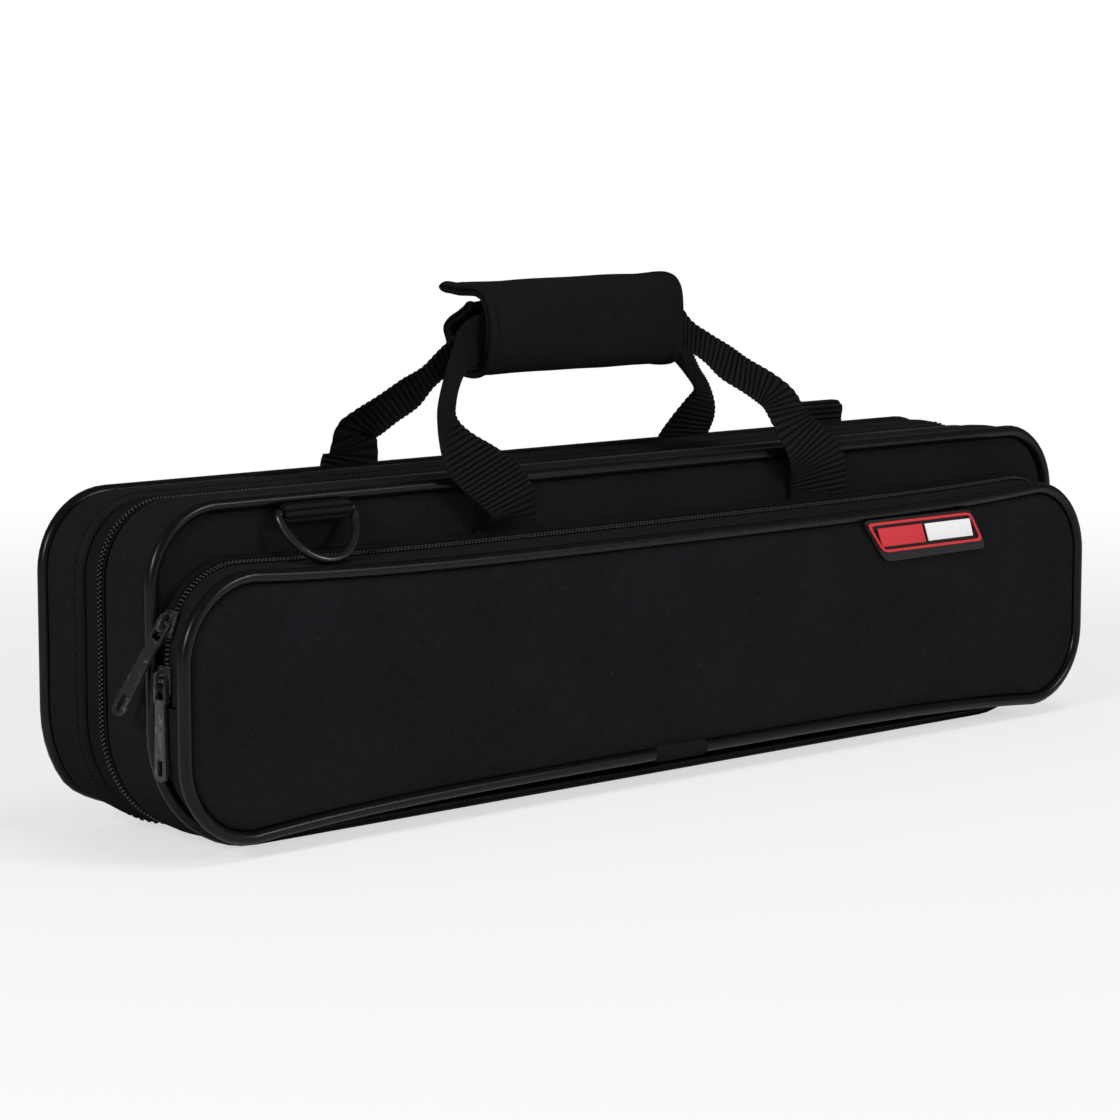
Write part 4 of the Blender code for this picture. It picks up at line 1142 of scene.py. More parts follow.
class FLUTECASE_OT_pocket(bpy.types.Operator):
    """Make the pocket's padded front, its walls and its zip"""

    bl_idname = "flutecase.pocket"
    bl_label = "Pocket"

    def execute(self, context):
        self.panel()
        self.walls()
        return {"FINISHED"}

    def panel(self):
        """The padded front panel, crowned between its seams."""
        edge = PIPING_RADIUS + CLEARANCE
        back = POCKET_Y - PANEL_CROWN + PANEL_THICKNESS
        levels = [(back, inset * MM) for inset in (40, 30, 20, 10)]
        levels += [(back, edge + 0.6 * MM), (back - 0.5 * MM, edge), (POCKET_Y, edge)]
        first_front = len(levels) + 2
        for inset, share in (
            (0.5, 0.35), (1.3, 0.55), (2.5, 0.72), (4, 0.85), (6, 0.94), (9, 1),
            (13, 1), (18, 1), (24, 1), (31, 1), (38, 1),
        ):
            levels.append((POCKET_Y - PANEL_CROWN * share, edge + inset * MM))
        rings = []
        for index, (y, inset) in enumerate(levels):
            half, low, high, radius, sag, rise = pocket_sizes(POCKET_Y, inset)
            fade = max(0.0, 1 - inset / (42 * MM))
            ring = []
            for x, z in outline(half, low, high, radius, sag * fade, rise * fade):
                lift = 0.0
                if index >= first_front:
                    lift = lump((x, 0, z), 24, 0.3 * MM)
                    lift += lump((x, 2, z), 70, 0.08 * MM)
                ring.append((x, y + lift, z))
            rings.append(ring)
        line = spine(*pocket_sizes(POCKET_Y, 0)[:3])
        bm = closed_panel(rings, line, back, POCKET_Y - PANEL_CROWN)
        obj = put("pocket_cover", bm, "case_fabric", "fabric", "pocket_front",
                  ("pocket_panel",))

    def walls(self):
        """The tape and wall on both sides of the zip, its teeth and the fold below."""
        thick = GUSSET_THICKNESS
        seam = LID_Y - CLEARANCE
        piping = POCKET_Y + PIPING_RADIUS - 0.2 * MM
        chain = POCKET_CHAIN_Y
        meet = TAPE_GAP
        top = partial(pocket_way, upper=True)
        rear = [
            (seam, 0.4 * MM),
            (seam - 0.8 * MM, -0.5 * MM),
            (chain + 3 * MM, -0.8 * MM),
            (chain + 1.6 * MM, -0.5 * MM),
            (chain + 0.9 * MM, 0),
            (chain + meet, 0.1 * MM),
            (chain + meet, thick),
            (seam, thick + 0.3 * MM),
        ]
        put("pocket_tape", band(top, rear, POCKET_TAPE_LIGHT), "zip_tape_cloth",
            "zip_tape", "lid", ("pocket_zip_rear_half",))
        front = [
            (piping, 0.9 * MM),
            (piping + 0.8 * MM, 0.15 * MM),
            (piping + 2.2 * MM, -0.25 * MM),
            (chain - 3.2 * MM, -0.3 * MM),
            (chain - 2.2 * MM, 0.05 * MM),
            (chain - 2 * MM, 0.5 * MM),
            (chain - meet, 0.15 * MM),
            (chain - meet, thick),
            (piping, thick + 0.4 * MM),
        ]
        put("pocket_wall", band(top, front), "case_fabric", "fabric", "pocket_front",
            ("pocket_zip_front_half",))
        for name, side, body in (("lid", 1, "lid"), ("front", -1, "pocket_front")):
            y = chain + side * TEETH_OUT
            rows = outward_path(top(y, -0.5 * MM), y, (0, 0.04))
            teeth(f"pocket_teeth_{name}", rows, body, 0.0)
        fold = []
        for step in range(FOLD_STEPS + 1):
            share = step / FOLD_STEPS
            y = piping + (seam - piping) * share
            fold.append((y, (0.2 - 1.6 * math.sin(math.pi * share) ** 0.6) * MM))
        fold += [(y, inset + thick) for y, inset in fold[::-1]]
        bm = band(partial(pocket_way, upper=False), fold)
        obj = put("pocket_fold", bm, "case_fabric", "fabric", None,
                  ("pocket_gusset_fold",))
        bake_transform(obj)
        way = lengths(at_depth(pocket_way(chain, 0, False), chain))[1]


class FLUTECASE_OT_handle(bpy.types.Operator):
    """Make the two ribbed straps of the handle"""

    bl_idname = "flutecase.handle"
    bl_label = "Handle"

    def execute(self, context):
        for name, node, left, right, body in (
            ("front_webbing", "front_strap", FRONT_LEFT, FRONT_RIGHT, "lid"),
            ("rear_webbing", "rear_strap", REAR_LEFT, REAR_RIGHT, "rear_half"),
        ):
            width, thick = WEBBING_WIDTH, WEBBING_THICKNESS
            rings, ribs = webbing_rings(strap_rows(left), width, thick)
            half = len(rings[0]) // 2
            more = webbing_rings(strap_rows(right), width, thick, len(rings) - 1)
            rings += [ring[half:] + ring[:half] for ring in more[0][1:]]
            ribs += [heights[half:] + heights[:half] for heights in more[1][1:]]
            bm = loft(rings, ribs=ribs)
            put(name, bm, "strap_webbing", "webbing", body, (node,), sharp=75)
        return {"FINISHED"}


def strap_rows(stations):
    """Rows of a place, the way the width runs, a width share and a plain share."""
    return [
        [x * MM, y * MM, z * MM, *Vector(way).normalized(), share, plain]
        for x, y, z, *way, share, plain in stations
    ]


# Stations of the straps: a place in millimetres, the way the width runs, its share and
# the share of it that shows no ribs. Each strap is turned over inside the grip.
FRONT_LEFT = (
    (-71.7, -24.9, 93.1, 1, 0.02, -0.04, 1, 1),
    (-71.5, -25.2, 95.6, 0.99, 0.06, -0.02, 1, 1),
    (-70.9, -26.4, 98.1, 0.98, 0.19, 0.01, 1, 0.85),
    (-71, -28, 101.3, 0.96, 0.28, 0.09, 1, 0.45),
    (-73.2, -28.8, 105.4, 0.94, 0.24, 0.2, 1, 0.1),
    (-78, -28.8, 110.4, 0.95, 0.18, 0.27, 1, 0.05),
    (-84.2, -28.2, 115.6, 0.94, 0.18, 0.29, 1, 0.05),
    (-90, -27.2, 120.5, 0.93, 0.27, 0.24, 1, 0.1),
    (-93.8, -25.5, 125.3, 0.9, 0.42, 0.16, 0.95, 0.2),
    (-95.2, -23.1, 129.6, 0.85, 0.52, 0.11, 0.86, 0.5),
    (-94.4, -20.4, 133.4, 0.83, 0.56, 0.07, 0.78, 0.9),
    (-91.6, -17.3, 137.9, 0.84, 0.54, 0.02, 0.74, 1),
    (-86.8, -13.5, 143.2, 0.84, 0.54, -0.05, 0.72, 1),
    (-80.6, -9.5, 148.9, 0.82, 0.52, -0.17, 0.72, 1),
    (-74.2, -5.8, 153.2, 0.74, 0.42, -0.4, 0.7, 1),
    (-68, -1.4, 156.2, 0.5, 0.25, -0.8, 0.64, 0.8),
    (-61, 1.4, 158.4, 0.2, 0.08, -0.97, 0.58, 0.4),
    (-52, 2.2, 160, 0, 0, -1, 0.6, 0),
    (-40, 2.3, 160.8, 0, 0, -1, 0.64, 0),
    (-12, 2.3, 161, 0, 0, -1, 0.66, 0),
)
FRONT_RIGHT = (
    (-12, 2.3, 161, 0, 0, 1, 0.66, 0),
    (26, 2.3, 161, 0, 0, 1, 0.68, 0),
    (35.5, 2.3, 159.6, 0.3, 0.3, 0.9, 0.74, 0),
    (43.9, 1.8, 155.2, 0.65, 0.62, 0.45, 0.82, 0),
    (49.8, -1.4, 150.8, 0.71, 0.62, 0.33, 0.92, 0),
    (55.3, -5.9, 145.3, 0.75, 0.57, 0.34, 1, 0),
    (61.7, -10.4, 140.1, 0.7, 0.61, 0.36, 1, 0),
    (67.6, -14.4, 135.6, 0.79, 0.53, 0.32, 1, 0),
    (70.3, -18.4, 131.9, 0.92, 0.35, 0.15, 1, 0),
    (70.5, -22.3, 127.6, 0.96, 0.27, 0.02, 1, 0),
    (71.5, -25.8, 122.4, 0.94, 0.3, 0.16, 1, 0),
    (74.6, -28, 116.7, 0.88, 0.3, 0.34, 1.02, 0),
    (79.4, -28.3, 110.5, 0.93, 0.12, 0.32, 1.04, 0),
    (83.2, -27, 105.2, 0.98, 0, 0.18, 1.06, 0),
    (85.3, -25.6, 99.4, 1, 0, 0.07, 1.06, 0.2),
    (86.2, -25, 93.4, 1, 0, 0.03, 1.06, 1),
)
REAR_LEFT = (
    (-88, 36.5, 95.9, 1, 0, 0, 1, 0.3),
    (-88, 37, 103.5, 1, 0, 0, 1, 0),
    (-88.4, 38.8, 110.5, 0.98, 0.06, -0.2, 1, 0),
    (-87.6, 39.2, 115.5, 0.96, 0.13, -0.18, 1, 0),
    (-87.2, 38.8, 119.4, 0.96, 0.22, 0.1, 1, 0),
    (-88.4, 37.4, 122.9, 0.91, 0.28, 0.24, 0.98, 0),
    (-87.8, 35.5, 125.9, 0.89, 0.37, -0.2, 0.98, 0),
    (-84.9, 33, 128.4, 0.79, 0.48, -0.38, 0.98, 0),
    (-79.8, 28.1, 133.3, 0.76, 0.52, -0.38, 0.97, 0),
    (-73.2, 23.4, 138.9, 0.73, 0.54, -0.42, 0.93, 0),
    (-69.1, 17.5, 145.2, 0.72, 0.54, -0.44, 0.64, 0),
    (-63.4, 14.3, 151.2, 0.55, 0.34, -0.76, 0.44, 0),
    (-57, 12.4, 155.4, 0.26, 0.12, -0.96, 0.48, 0),
    (-49, 11.7, 158, 0.05, 0, -1, 0.56, 0),
    (-38, 11.6, 158.4, 0, 0, -1, 0.62, 0),
    (-12, 11.6, 158.6, 0, 0, -1, 0.62, 0),
)
REAR_RIGHT = (
    (-12, 11.6, 158.6, 0, 0, 1, 0.62, 0),
    (24, 11.6, 158.6, 0, 0, 1, 0.62, 0),
    (34.5, 12.2, 158.2, 0.2, 0.2, 0.96, 0.64, 0),
    (43, 14, 156.4, 0.5, 0.4, 0.77, 0.7, 0),
    (51.2, 17, 152.6, 0.74, 0.5, 0.45, 0.78, 0),
    (59.8, 21, 146.6, 0.84, 0.53, 0.2, 0.8, 0),
    (70, 26.2, 139.8, 0.84, 0.54, 0.05, 0.8, 0),
    (78.8, 30.8, 134.6, 0.85, 0.53, 0.02, 0.78, 0),
    (83.8, 34, 130.7, 0.88, 0.46, -0.1, 0.8, 0),
    (85.6, 36.4, 126.8, 0.92, 0.36, -0.18, 0.9, 0),
    (84.4, 38, 122.2, 0.95, 0.27, -0.17, 1, 0),
    (81.4, 38.8, 117.7, 0.98, 0.17, -0.13, 1, 0),
    (77.6, 38.8, 113.2, 0.99, 0.09, -0.08, 1, 0),
    (75.4, 38.2, 109, 1, 0.04, -0.03, 1, 0),
    (74.2, 37.2, 103.5, 1, 0, 0, 1, 0),
    (73.5, 36.5, 95.9, 1, 0, 0, 1, 0),
)


# Sections of the grip in millimetres of Y and Z, at its open left end and further in
WRAP_END = ((23.2, 175.9), (18.5, 175.6), (13.5, 175.0), (9.0, 175.1), (4.6, 175.0),
            (0.6, 173.4), (-2.0, 169.4), (-3.1, 163.5), (-2.8, 156.5), (-1.2, 151.2),
            (1.6, 147.6), (6.4, 145.9), (14.3, 146.6))
WRAP_MIDDLE = ((23.2, 175.6), (18.8, 175.9), (14.4, 176.3), (9.5, 176.8), (5.0, 176.8),
               (1.2, 175.6), (-1.2, 172.0), (-1.9, 165.0), (-1.8, 156.0), (-0.9, 150.6),
               (1.4, 147.9), (6.6, 146.9), (14.3, 146.9))
FLAP_END = ((14.7, 146.7), (16.6, 149.0), (17.5, 153.0), (18.6, 157.5), (19.8, 161.4),
            (17.4, 163.9), (13.5, 165.9), (9.8, 168.2), (7.4, 170.6))
FLAP_MIDDLE = ((14.7, 146.9), (19.0, 147.5), (21.8, 150.6), (22.6, 155.5),
               (22.4, 160.5), (20.8, 164.6), (17.8, 167.6), (13.8, 169.7), (9.8, 171.2))
# The hems: how far in from an end, in millimetres, and the share of the thickness there
HEMS = ((1.8, 0.05), (0.6, 0.3), (0.1, 0.5), (0, 0.66), (0.15, 0.9), (0.6, 1.2),
        (1.4, 1.4), (2.3, 1.4), (3.1, 1.05), (3.6, 0.7), (4.3, 0.78), (6, 0.95),
        (8.6, 1.02), (9.2, 0.93), (9.8, 1.02))
HEM_STITCHES = 9.2 * MM
HEM_END = 13 * MM
GRIP_SPLAY = 34 * MM
GRIP_SWELL = 1.06
GRIP_STEPS = 22
GRIP_COLUMNS = 96


def padded_strip(end_section, middle_section, thickness):
    """Padded cloth along the grip with a rolled hem at both ends."""
    left, right = WRAP_LEFT, WRAP_RIGHT
    stations = [(left + inset * MM, squeeze) for inset, squeeze in HEMS]
    inner, outer = left + HEM_END, right - HEM_END
    for step in range(GRIP_STEPS + 1):
        stations.append((inner + (outer - inner) * step / GRIP_STEPS, GRIP_SWELL))
    stations += [(right - inset * MM, squeeze) for inset, squeeze in HEMS[::-1]]
    rings, runs = [], []
    for x, squeeze in stations:
        open_share = max(0.0, 1 - (x - left) / GRIP_SPLAY) ** 1.6
        points = [
            (0.0, *(MM * (a + (b - a) * open_share) for a, b in zip(mid, end)))
            for mid, end in zip(middle_section, end_section)
        ]
        table = np.array(smooth_run(points, 0.8 * MM))
        picks = np.linspace(0, len(table) - 1, GRIP_COLUMNS)
        ys = np.interp(picks, range(len(table)), table[:, 1])
        zs = np.interp(picks, range(len(table)), table[:, 2])
        near, far = [], []
        for i in range(GRIP_COLUMNS):
            a, b = max(i - 1, 0), min(i + 1, GRIP_COLUMNS - 1)
            along = Vector((ys[b] - ys[a], zs[b] - zs[a])).normalized()
            side = Vector((-along.y, along.x))
            end = min(i, GRIP_COLUMNS - 1 - i, 4) / 4
            edge = 0.3 + 0.7 * math.sqrt(1 - (1 - end) ** 2)
            half = thickness / 2 * squeeze * edge
            wave = lump((x, ys[i], zs[i]), 42, 0.5 * MM)
            centre = Vector((ys[i], zs[i])) + side * wave
            near.append((x, *(centre + side * half)))
            far.append((x, *(centre - side * half)))
        rings.append(near + far[::-1])
        runs.append((x, near, far))
    return loft(rings), runs


class FLUTECASE_OT_grip(bpy.types.Operator):
    """Make the padded grip wrap with its rolled hems, and its closing flap"""

    bl_idname = "flutecase.grip"
    bl_label = "Grip"

    def execute(self, context):
        bm, runs = padded_strip(WRAP_END, WRAP_MIDDLE, WRAP_THICKNESS)
        wrap = put("grip_pad", bm, "grip_fabric", "fabric", "lid", ("grip_wrap",))
        bm, _ = padded_strip(FLAP_END, FLAP_MIDDLE, FLAP_THICKNESS)
        flap = put("grip_flap_pad", bm, "grip_fabric", "fabric", "flap", ("grip_flap",))
        for name, place in (
            ("left", WRAP_LEFT + HEM_STITCHES), ("right", WRAP_RIGHT - HEM_STITCHES),
        ):
            x, near, far = min(runs, key=lambda run: abs(run[0] - place))
            rows = []
            for inner, outer in zip(near, far):
                out = (Vector(outer) - Vector(inner)).normalized()
                rows.append((*outer, *out))
            stitches(f"grip_stitches_{name}", rows, "lid")
        return {"FINISHED"}


class FLUTECASE_OT_rings(bpy.types.Operator):
    """Make the two D rings and the webbing tabs that hold them"""

    bl_idname = "flutecase.rings"
    bl_label = "Rings"

    def execute(self, context):
        self.ring("front_d_wire", "front_ring", FRONT_RING_AXIS, FRONT_RING_TILT, -1,
                  "front_d_ring")
        self.ring("rear_d_wire", "rear_ring", REAR_RING_AXIS, REAR_RING_TILT, 1,
                  "rear_d_ring")
        self.front_tab()
        self.rear_tab()
        return {"FINISHED"}

    def ring(self, name, node, axis, tilt, outward, body):
        """A wire D: a straight bar and a round bow."""
        down = Vector((0, outward * math.sin(tilt), -math.cos(tilt)))
        path = []
        for step in range(BAR_STEPS + 1):
            reach = RING_HALF * (2 * step / BAR_STEPS - 1)
            path.append(axis + Vector((reach, 0, 0)))
        for step in range(1, BOW_STEPS):
            angle = math.pi * step / BOW_STEPS
            path.append(
                axis
                + Vector((RING_HALF * math.cos(angle), 0, 0))
                + down * RING_DROP * math.sin(angle)
            )
        normal = down.cross(Vector((1, 0, 0)))
        bm = tube(path, circle(RING_WIRE, 14), True, normal)
        put(name, bm, "ring_coating", "ring_metal", body, (node,), sharp=80)

    def tab(self, name, node, path, x, body):
        rows = [[x, y, z, 1, 0, 0, 1, 0] for y, z in path]
        rings, ribs = webbing_rings(rows, TAB_WIDTH, TAB_THICKNESS)
        bm = loft(rings, ribs=ribs)
        put(name, bm, "strap_webbing", "webbing", body, (node,), sharp=75)

    def front_tab(self):
        centre = (FRONT_RING_AXIS.y, FRONT_RING_AXIS.z)
        top = centre[1] + TAB_THICKNESS
        leg = TAB_LEG_Y - TAB_THICKNESS - CLEARANCE
        path = [(TAB_LEG_Y, top)]
        path += arc(centre, LOOP_RADIUS, 0, -200, LOOP_STEPS)
        path += arc(centre, LOOP_RADIUS, -225, -250, 1)
        path.append((leg, top + TAB_THICKNESS / 2))
        self.tab("front_tab", "front_ring_tab", path, FRONT_RING_AXIS.x, "lid")

    def rear_tab(self):
        centre = (REAR_RING_AXIS.y, REAR_RING_AXIS.z)
        leg = REAR_Y + CLEARANCE + TAB_THICKNESS / 2
        piping = CASE_HEIGHT - PIPING_RADIUS
        low = piping - PIPING_RADIUS - TAB_SEWN_LENGTH
        bend = piping - 2 * PIPING_RADIUS - TAB_THICKNESS
        inner = REAR_RING_AXIS.y - LOOP_RADIUS
        gap = TAB_THICKNESS + CLEARANCE
        path = [(leg, low), (leg, bend), (inner, piping - PIPING_RADIUS / 2)]
        path += arc(centre, LOOP_RADIUS, 180, -40, LOOP_STEPS)
        path += [
            (inner + gap, piping + PIPING_RADIUS / 2),
            (inner + gap, piping - PIPING_RADIUS),
            (leg + gap, bend - gap),
            (leg + gap, low),
        ]
        self.tab("rear_tab", "rear_ring_tab", path, REAR_RING_AXIS.x, "rear_half")


def rounded(bm, edges, width, segments):
    bmesh.ops.bevel(
        bm, geom=edges, offset=width, offset_type="OFFSET", affect="EDGES",
        segments=segments, profile=0.5, material=-1, clamp_overlap=True,
    )


def dressed(name, node, finish, slot, body, width, segments=2, angle=30, shape=None,
            cuts=()):
    """A CAD node's own shape with its faces joined and its edges rounded."""
    bm = bmesh.new()
    bm.from_mesh(frame["nodes"][node].data)
    bmesh.ops.remove_doubles(bm, verts=bm.verts, dist=NEAR)
    for place, normal in cuts:
        geom = [*bm.verts, *bm.edges, *bm.faces]
        bmesh.ops.bisect_plane(
            bm, geom=geom, dist=NEAR, plane_co=place, plane_no=normal
        )
    if shape:
        for vert in bm.verts:
            vert.co = shape(vert.co)
    bmesh.ops.dissolve_limit(
        bm, angle_limit=math.radians(3), verts=bm.verts, edges=bm.edges
    )
    limit = math.radians(angle)
    inner = [edge for edge in bm.edges if len(edge.link_faces) == 2]
    sharp = [edge for edge in inner if edge.calc_face_angle() > limit]
    rounded(bm, sharp, width, segments)
    return put(name, bm, finish, slot, body, (node,), sharp=40)


# How much larger the photo's sliders are beyond their pivots
POCKET_PULL_GROWTH = (1.3, 1.2, 1.18)
BODY_GROWTH = 0.3


class FLUTECASE_OT_sliders(bpy.types.Operator):
    """Make the four zip sliders and their pulls"""

    bl_idname = "flutecase.sliders"
    bl_label = "Sliders"

    def execute(self, context):
        for place in ("pocket_slider_upper", "pocket_slider_lower",
                      "main_slider_upper", "main_slider_lower"):
            body = place.replace("_slider", "") + "_slider"
            pull = place.replace("_slider", "") + "_pull"
            pivot = joint_place(f"{pull}_lift")
            out = math.copysign(1, pivot.x)
            longer = POCKET_PULL_GROWTH if pivot.x < 0 else (1, 1, 1)

            def raised(point):
                beyond = max((point.x - pivot.x) * out, 0)
                return point + Vector((BODY_GROWTH * out * beyond, 0, 0))

            def hung(point):
                return pivot + (point - pivot) * Vector(longer)

            dressed(f"{place}_body", place, "slider_enamel", "zip_metal", body,
                    0.22 * MM, shape=raised)
            dressed(f"{place}_plate", f"{place}_pull", "slider_enamel", "zip_metal",
                    pull, 0.26 * MM, shape=hung)
        return {"FINISHED"}


# The parts of the stripe's length that the red block and the white bar take up, and
# how much each stands over it above and below
BLOCK_SHARES = (0, 0.47)
BAR_SHARES = (0.5, 0.99)
BLOCK_GROWTH = 2.3 * MM
BAR_GROWTH = 2.1 * MM
SLANT_SHARE = 0.45


class FLUTECASE_OT_badge(bpy.types.Operator):
    """Make the plain rubber badge: a patch, a red frame and block, and a white bar"""

    bl_idname = "flutecase.badge"
    bl_label = "Badge"

    def execute(self, context):
        dressed("badge_patch", "badge_base", "badge_rubber", "badge_black",
                "pocket_front", 0.3 * MM, 3, shape=self.slanted)
        dressed("badge_rim", "badge_frame", "badge_red", "badge_red", "pocket_front",
                0.22 * MM, 3, shape=self.raised)
        low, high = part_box("badge_stripe")
        self.block("badge_block", BLOCK_SHARES, low, high, BLOCK_GROWTH, "badge_red")
        self.block("badge_bar", BAR_SHARES, low, high, BAR_GROWTH, "badge_white",
                   ("badge_stripe",))
        return {"FINISHED"}

    def shares(self, place):
        """How far to the left and how far up a place lies on the badge."""
        low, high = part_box("badge_base")
        size = high - low
        return (high.x - place.x) / size.x, (place.z - low.z) / size.z

    def slanted(self, place):
        """Draws the patch's upper left corner out, as in the photo."""
        left, up = self.shares(place)
        across = 0.6 * left * (1 - up) - (1 + 3.6 * left) * up
        return place + Vector((across, 0, 1.25 * up - 0.5 * left * (1 - up))) * MM

    def raised(self, place):
        """Sets the frame and the bars up and to the left on the patch."""
        left, up = self.shares(place)
        across = (0.4 + 1.4 * left) * (1 - up) + (2.2 + 4 * left) * up
        return place + Vector((-across, 0, 1.75)) * MM

    def block(self, name, shares, low, high, grow, finish, replaces=()):
        """A slanted bar over a share of the stripe's length, with eased edges."""
        slant = (high.z - low.z) * SLANT_SHARE
        inner = high.x - low.x
        bottom, top = low.z - grow, high.z + grow
        bm = bmesh.new()
        bmesh.ops.create_cube(bm, size=1)
        for vert in bm.verts:
            share = shares[1] if vert.co.x > 0 else shares[0]
            rise = vert.co.z + 0.5
            vert.co = self.raised(Vector((
                low.x + inner * share - slant * (rise - 0.5),
                high.y if vert.co.y > 0 else low.y,
                bottom + (top - bottom) * rise,
            )))
        rounded(bm, bm.edges[:], 0.3 * MM, 3)
        put(name, bm, finish, finish, "pocket_front", replaces, sharp=40)


# Where the insert's lower corners are cut, so that they can be drawn round
CUT_SHARES = (0, 0.15, 0.3, 0.45)


class FLUTECASE_OT_inside(bpy.types.Operator):
    """Make the plush insert and the lid's plush lining"""

    bl_idname = "flutecase.inside"
    bl_label = "Inside"

    def execute(self, context):
        cuts = []
        for share in CUT_SHARES:
            reach = LOW_CORNER_RADIUS - share * (LOW_CORNER_RADIUS - INSIDE_INSET)
            cuts.append(((0, 0, reach), (0, 0, 1)))
            for side in (-1, 1):
                cuts.append(((side * (CASE_LENGTH / 2 - reach), 0, 0), (1, 0, 0)))
        insert = dressed("plush_insert", "flute_insert", "plush_pile", "plush",
                         "rear_half", 1.1 * MM, 3, 40, self.rounder, cuts)
        low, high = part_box("lid_lining")
        rings = []
        depth = INSIDE_INSET
        levels = [(low.y, depth + inset * MM) for inset in (38, 24, 10, 1)]
        levels += [(low.y + 0.5 * MM, depth), (high.y - 1.2 * MM, depth)]
        levels += [(high.y - 0.4 * MM, depth + 0.7 * MM), (high.y, depth + 2.2 * MM)]
        first_top = len(levels)
        levels += [(high.y, depth + inset * MM) for inset in (6, 14, 26, 38)]
        for index, (y, inset) in enumerate(levels):
            ring = []
            for x, z in case_outline(inset):
                lift = lump((x, 5, z), 30, 0.3 * MM) if index >= first_top else 0
                ring.append((x, y + lift, z))
            rings.append(ring)
        line = spine(CASE_LENGTH / 2, 0, CASE_HEIGHT)
        bm = closed_panel(rings, line, low.y, high.y)
        lining = put("plush_lining", bm, "plush_pile", "plush", "lid", ("lid_lining",))
        return {"FINISHED"}

    def rounder(self, place):
        """Draws the block's lower corners in to the covers' larger radius."""
        radius = LOW_CORNER_RADIUS - INSIDE_INSET
        side = math.copysign(CASE_LENGTH / 2 - LOW_CORNER_RADIUS, place.x)
        out = Vector(((place.x - side) * math.copysign(1, side), 0,
                      LOW_CORNER_RADIUS - place.z))
        if min(out.x, out.z) <= 0 or out.length <= radius:
            return place
        out *= radius / out.length
        return Vector((side + math.copysign(out.x, side), place.y,
                       LOW_CORNER_RADIUS - out.z))


# Name, place, size, power in watts and aim of each light
LIGHTS = (
    ("top_light", (0.0, -0.6, 1.5), 0.6, 6.8, (0, 0, 0.05)),
    ("left_light", (-1.5, -0.45, 0.75), 0.34, 12, (-0.1, 0, 0.06)),
    ("right_light", (0.8, -1.6, 0.75), 0.4, 11, (0.1, 0, 0.06)),
)
# The brightness of the white surroundings to each kind of ray
SURROUNDINGS = (
    ("Is Glossy Ray", 0.1),
    ("Is Diffuse Ray", 0.32),
    ("Is Transmission Ray", 1),
    ("Is Camera Ray", 1),
)
FLOOR_DROP = 0.2 * MM
FLOOR_REACH = 6
# The camera that was fitted to the photo, with its lens and sensor in millimetres
CAMERA_PLACE = (-0.8481, -0.8866, 0.2322)
CAMERA_DOWN = 7.28
CAMERA_TURN = -42.94
SENSOR_WIDTH = 36
FOCAL_SHARE = 3400 / 1120


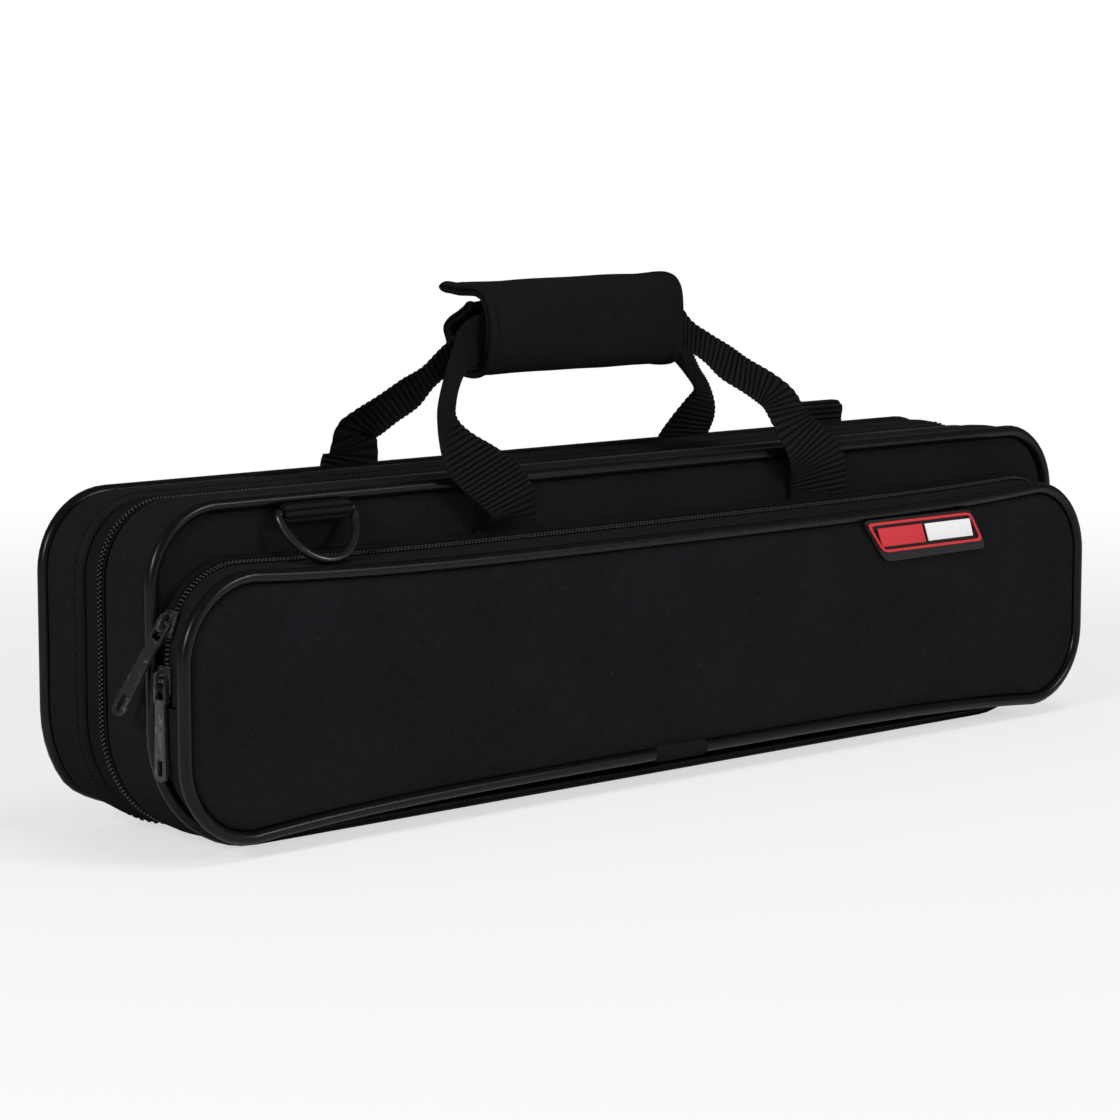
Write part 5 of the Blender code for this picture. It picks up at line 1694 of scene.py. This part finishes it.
class FLUTECASE_OT_stage(bpy.types.Operator):
    """Make the floor, the lights and the camera"""

    bl_idname = "flutecase.stage"
    bl_label = "Stage"

    def execute(self, context):
        self.floor()
        self.lights()
        self.world()
        self.camera(context)
        context.scene.view_settings.view_transform = "Standard"
        return {"FINISHED"}

    def floor(self):
        """A pale floor that shows white and keeps only the case's soft shadow."""
        bm = bmesh.new()
        bmesh.ops.create_grid(bm, x_segments=2, y_segments=2, size=FLOOR_REACH)
        bmesh.ops.translate(bm, vec=(0, 0, -FLOOR_DROP), verts=bm.verts)
        mesh = mesh_of("floor", bm)
        obj = linked("floor", mesh)
        finish = Finish("pale_floor", Roughness=0.9, Specular_IOR_Level=0.1)
        tone = finish.noise(3, 2)
        finish.colour(finish.blend(tone, (0.86, 0.86, 0.86), (0.9, 0.9, 0.9)))
        path = finish.node("ShaderNodeLightPath", output="Is Camera Ray")
        through = finish.node("ShaderNodeLightPath", output="Is Transmission Ray")
        seen = (path + through).maths("MINIMUM", 1)
        glow = finish.node(
            "ShaderNodeEmission", inputs={"Color": (1, 1, 1, 1), "Strength": 1}
        )
        away = finish.node(
            "ShaderNodeVectorMath", {"operation": "LENGTH"}, {0: finish.place()}, 1
        )
        white = 0.62 + away.above(0.62, 0.34) * 0.38
        matte = Value(finish, finish.surface.outputs[0])
        mix = finish.node(
            "ShaderNodeMixShader", inputs={0: seen * white, 1: matte, 2: glow}
        )
        finish.feed(finish.tree.nodes["Material Output"].inputs["Surface"], mix)
        mesh.materials.append(finish.material)

    def lights(self):
        for name, place, size, power, aim in LIGHTS:
            data = bpy.data.lights.new(name, "AREA")
            data.shape = "SQUARE"
            data.size = size
            data.energy = power
            obj = linked(name, data)
            obj.visible_glossy = name != "top_light"
            obj.location = place
            way = Vector(aim) - Vector(place)
            obj.rotation_euler = way.to_track_quat("-Z", "Y").to_euler()

    def world(self):
        world = bpy.data.worlds.new("studio")
        bpy.context.scene.world = world
        world.use_nodes = True
        tree = world.node_tree
        back = tree.nodes["Background"]
        back.inputs[0].default_value = (1, 1, 1, 1)
        rays = tree.nodes.new("ShaderNodeLightPath")
        strength = back.inputs[1]
        strength.default_value = 0
        for ray, share in SURROUNDINGS:
            step = tree.nodes.new("ShaderNodeMath")
            step.operation = "MULTIPLY_ADD"
            step.inputs[1].default_value = share
            step.inputs[2].default_value = 0
            tree.links.new(rays.outputs[ray], step.inputs[0])
            if strength.is_linked:
                tree.links.new(strength.links[0].from_socket, step.inputs[2])
            tree.links.new(step.outputs[0], strength)

    def camera(self, context):
        data = bpy.data.cameras.new("camera")
        data.sensor_width = SENSOR_WIDTH
        data.lens = FOCAL_SHARE * SENSOR_WIDTH
        data.clip_end = 30
        obj = linked("camera", data)
        obj.location = CAMERA_PLACE
        pitch, turn = math.radians(90 - CAMERA_DOWN), math.radians(CAMERA_TURN)
        obj.rotation_euler = (pitch, 0, turn)
        context.scene.camera = obj


class FLUTECASE_PT_panel(bpy.types.Panel):
    """The pieces of the flute case and their sizes"""

    bl_idname = "FLUTECASE_PT_panel"
    bl_label = "Flute Case"
    bl_space_type = "VIEW_3D"
    bl_region_type = "UI"
    bl_category = "Flute Case"

    def draw(self, context):
        for name in FluteCaseSizes.__annotations__:
            self.layout.prop(context.scene.flute_case, name)
        for operator in OPERATORS:
            self.layout.operator(operator.bl_idname)


OPERATORS = (
    FLUTECASE_OT_covers,
    FLUTECASE_OT_piping,
    FLUTECASE_OT_main_zip,
    FLUTECASE_OT_pocket,
    FLUTECASE_OT_handle,
    FLUTECASE_OT_grip,
    FLUTECASE_OT_rings,
    FLUTECASE_OT_sliders,
    FLUTECASE_OT_badge,
    FLUTECASE_OT_inside,
    FLUTECASE_OT_stage,
)


def register():
    for kind in (FluteCaseSizes, *OPERATORS, FLUTECASE_PT_panel):
        bpy.utils.register_class(kind)
    bpy.types.Scene.flute_case = bpy.props.PointerProperty(type=FluteCaseSizes)


def unregister():
    del bpy.types.Scene.flute_case
    for kind in (FLUTECASE_PT_panel, *reversed(OPERATORS), FluteCaseSizes):
        bpy.utils.unregister_class(kind)


def main():
    register()
    bpy.ops.flutecase.covers()
    bpy.ops.flutecase.piping()
    bpy.ops.flutecase.main_zip()
    bpy.ops.flutecase.pocket()
    bpy.ops.flutecase.handle()
    bpy.ops.flutecase.grip()
    bpy.ops.flutecase.rings()
    bpy.ops.flutecase.sliders()
    bpy.ops.flutecase.badge()
    bpy.ops.flutecase.inside()
    bpy.ops.flutecase.stage()


if __name__ == "__main__":
    main()
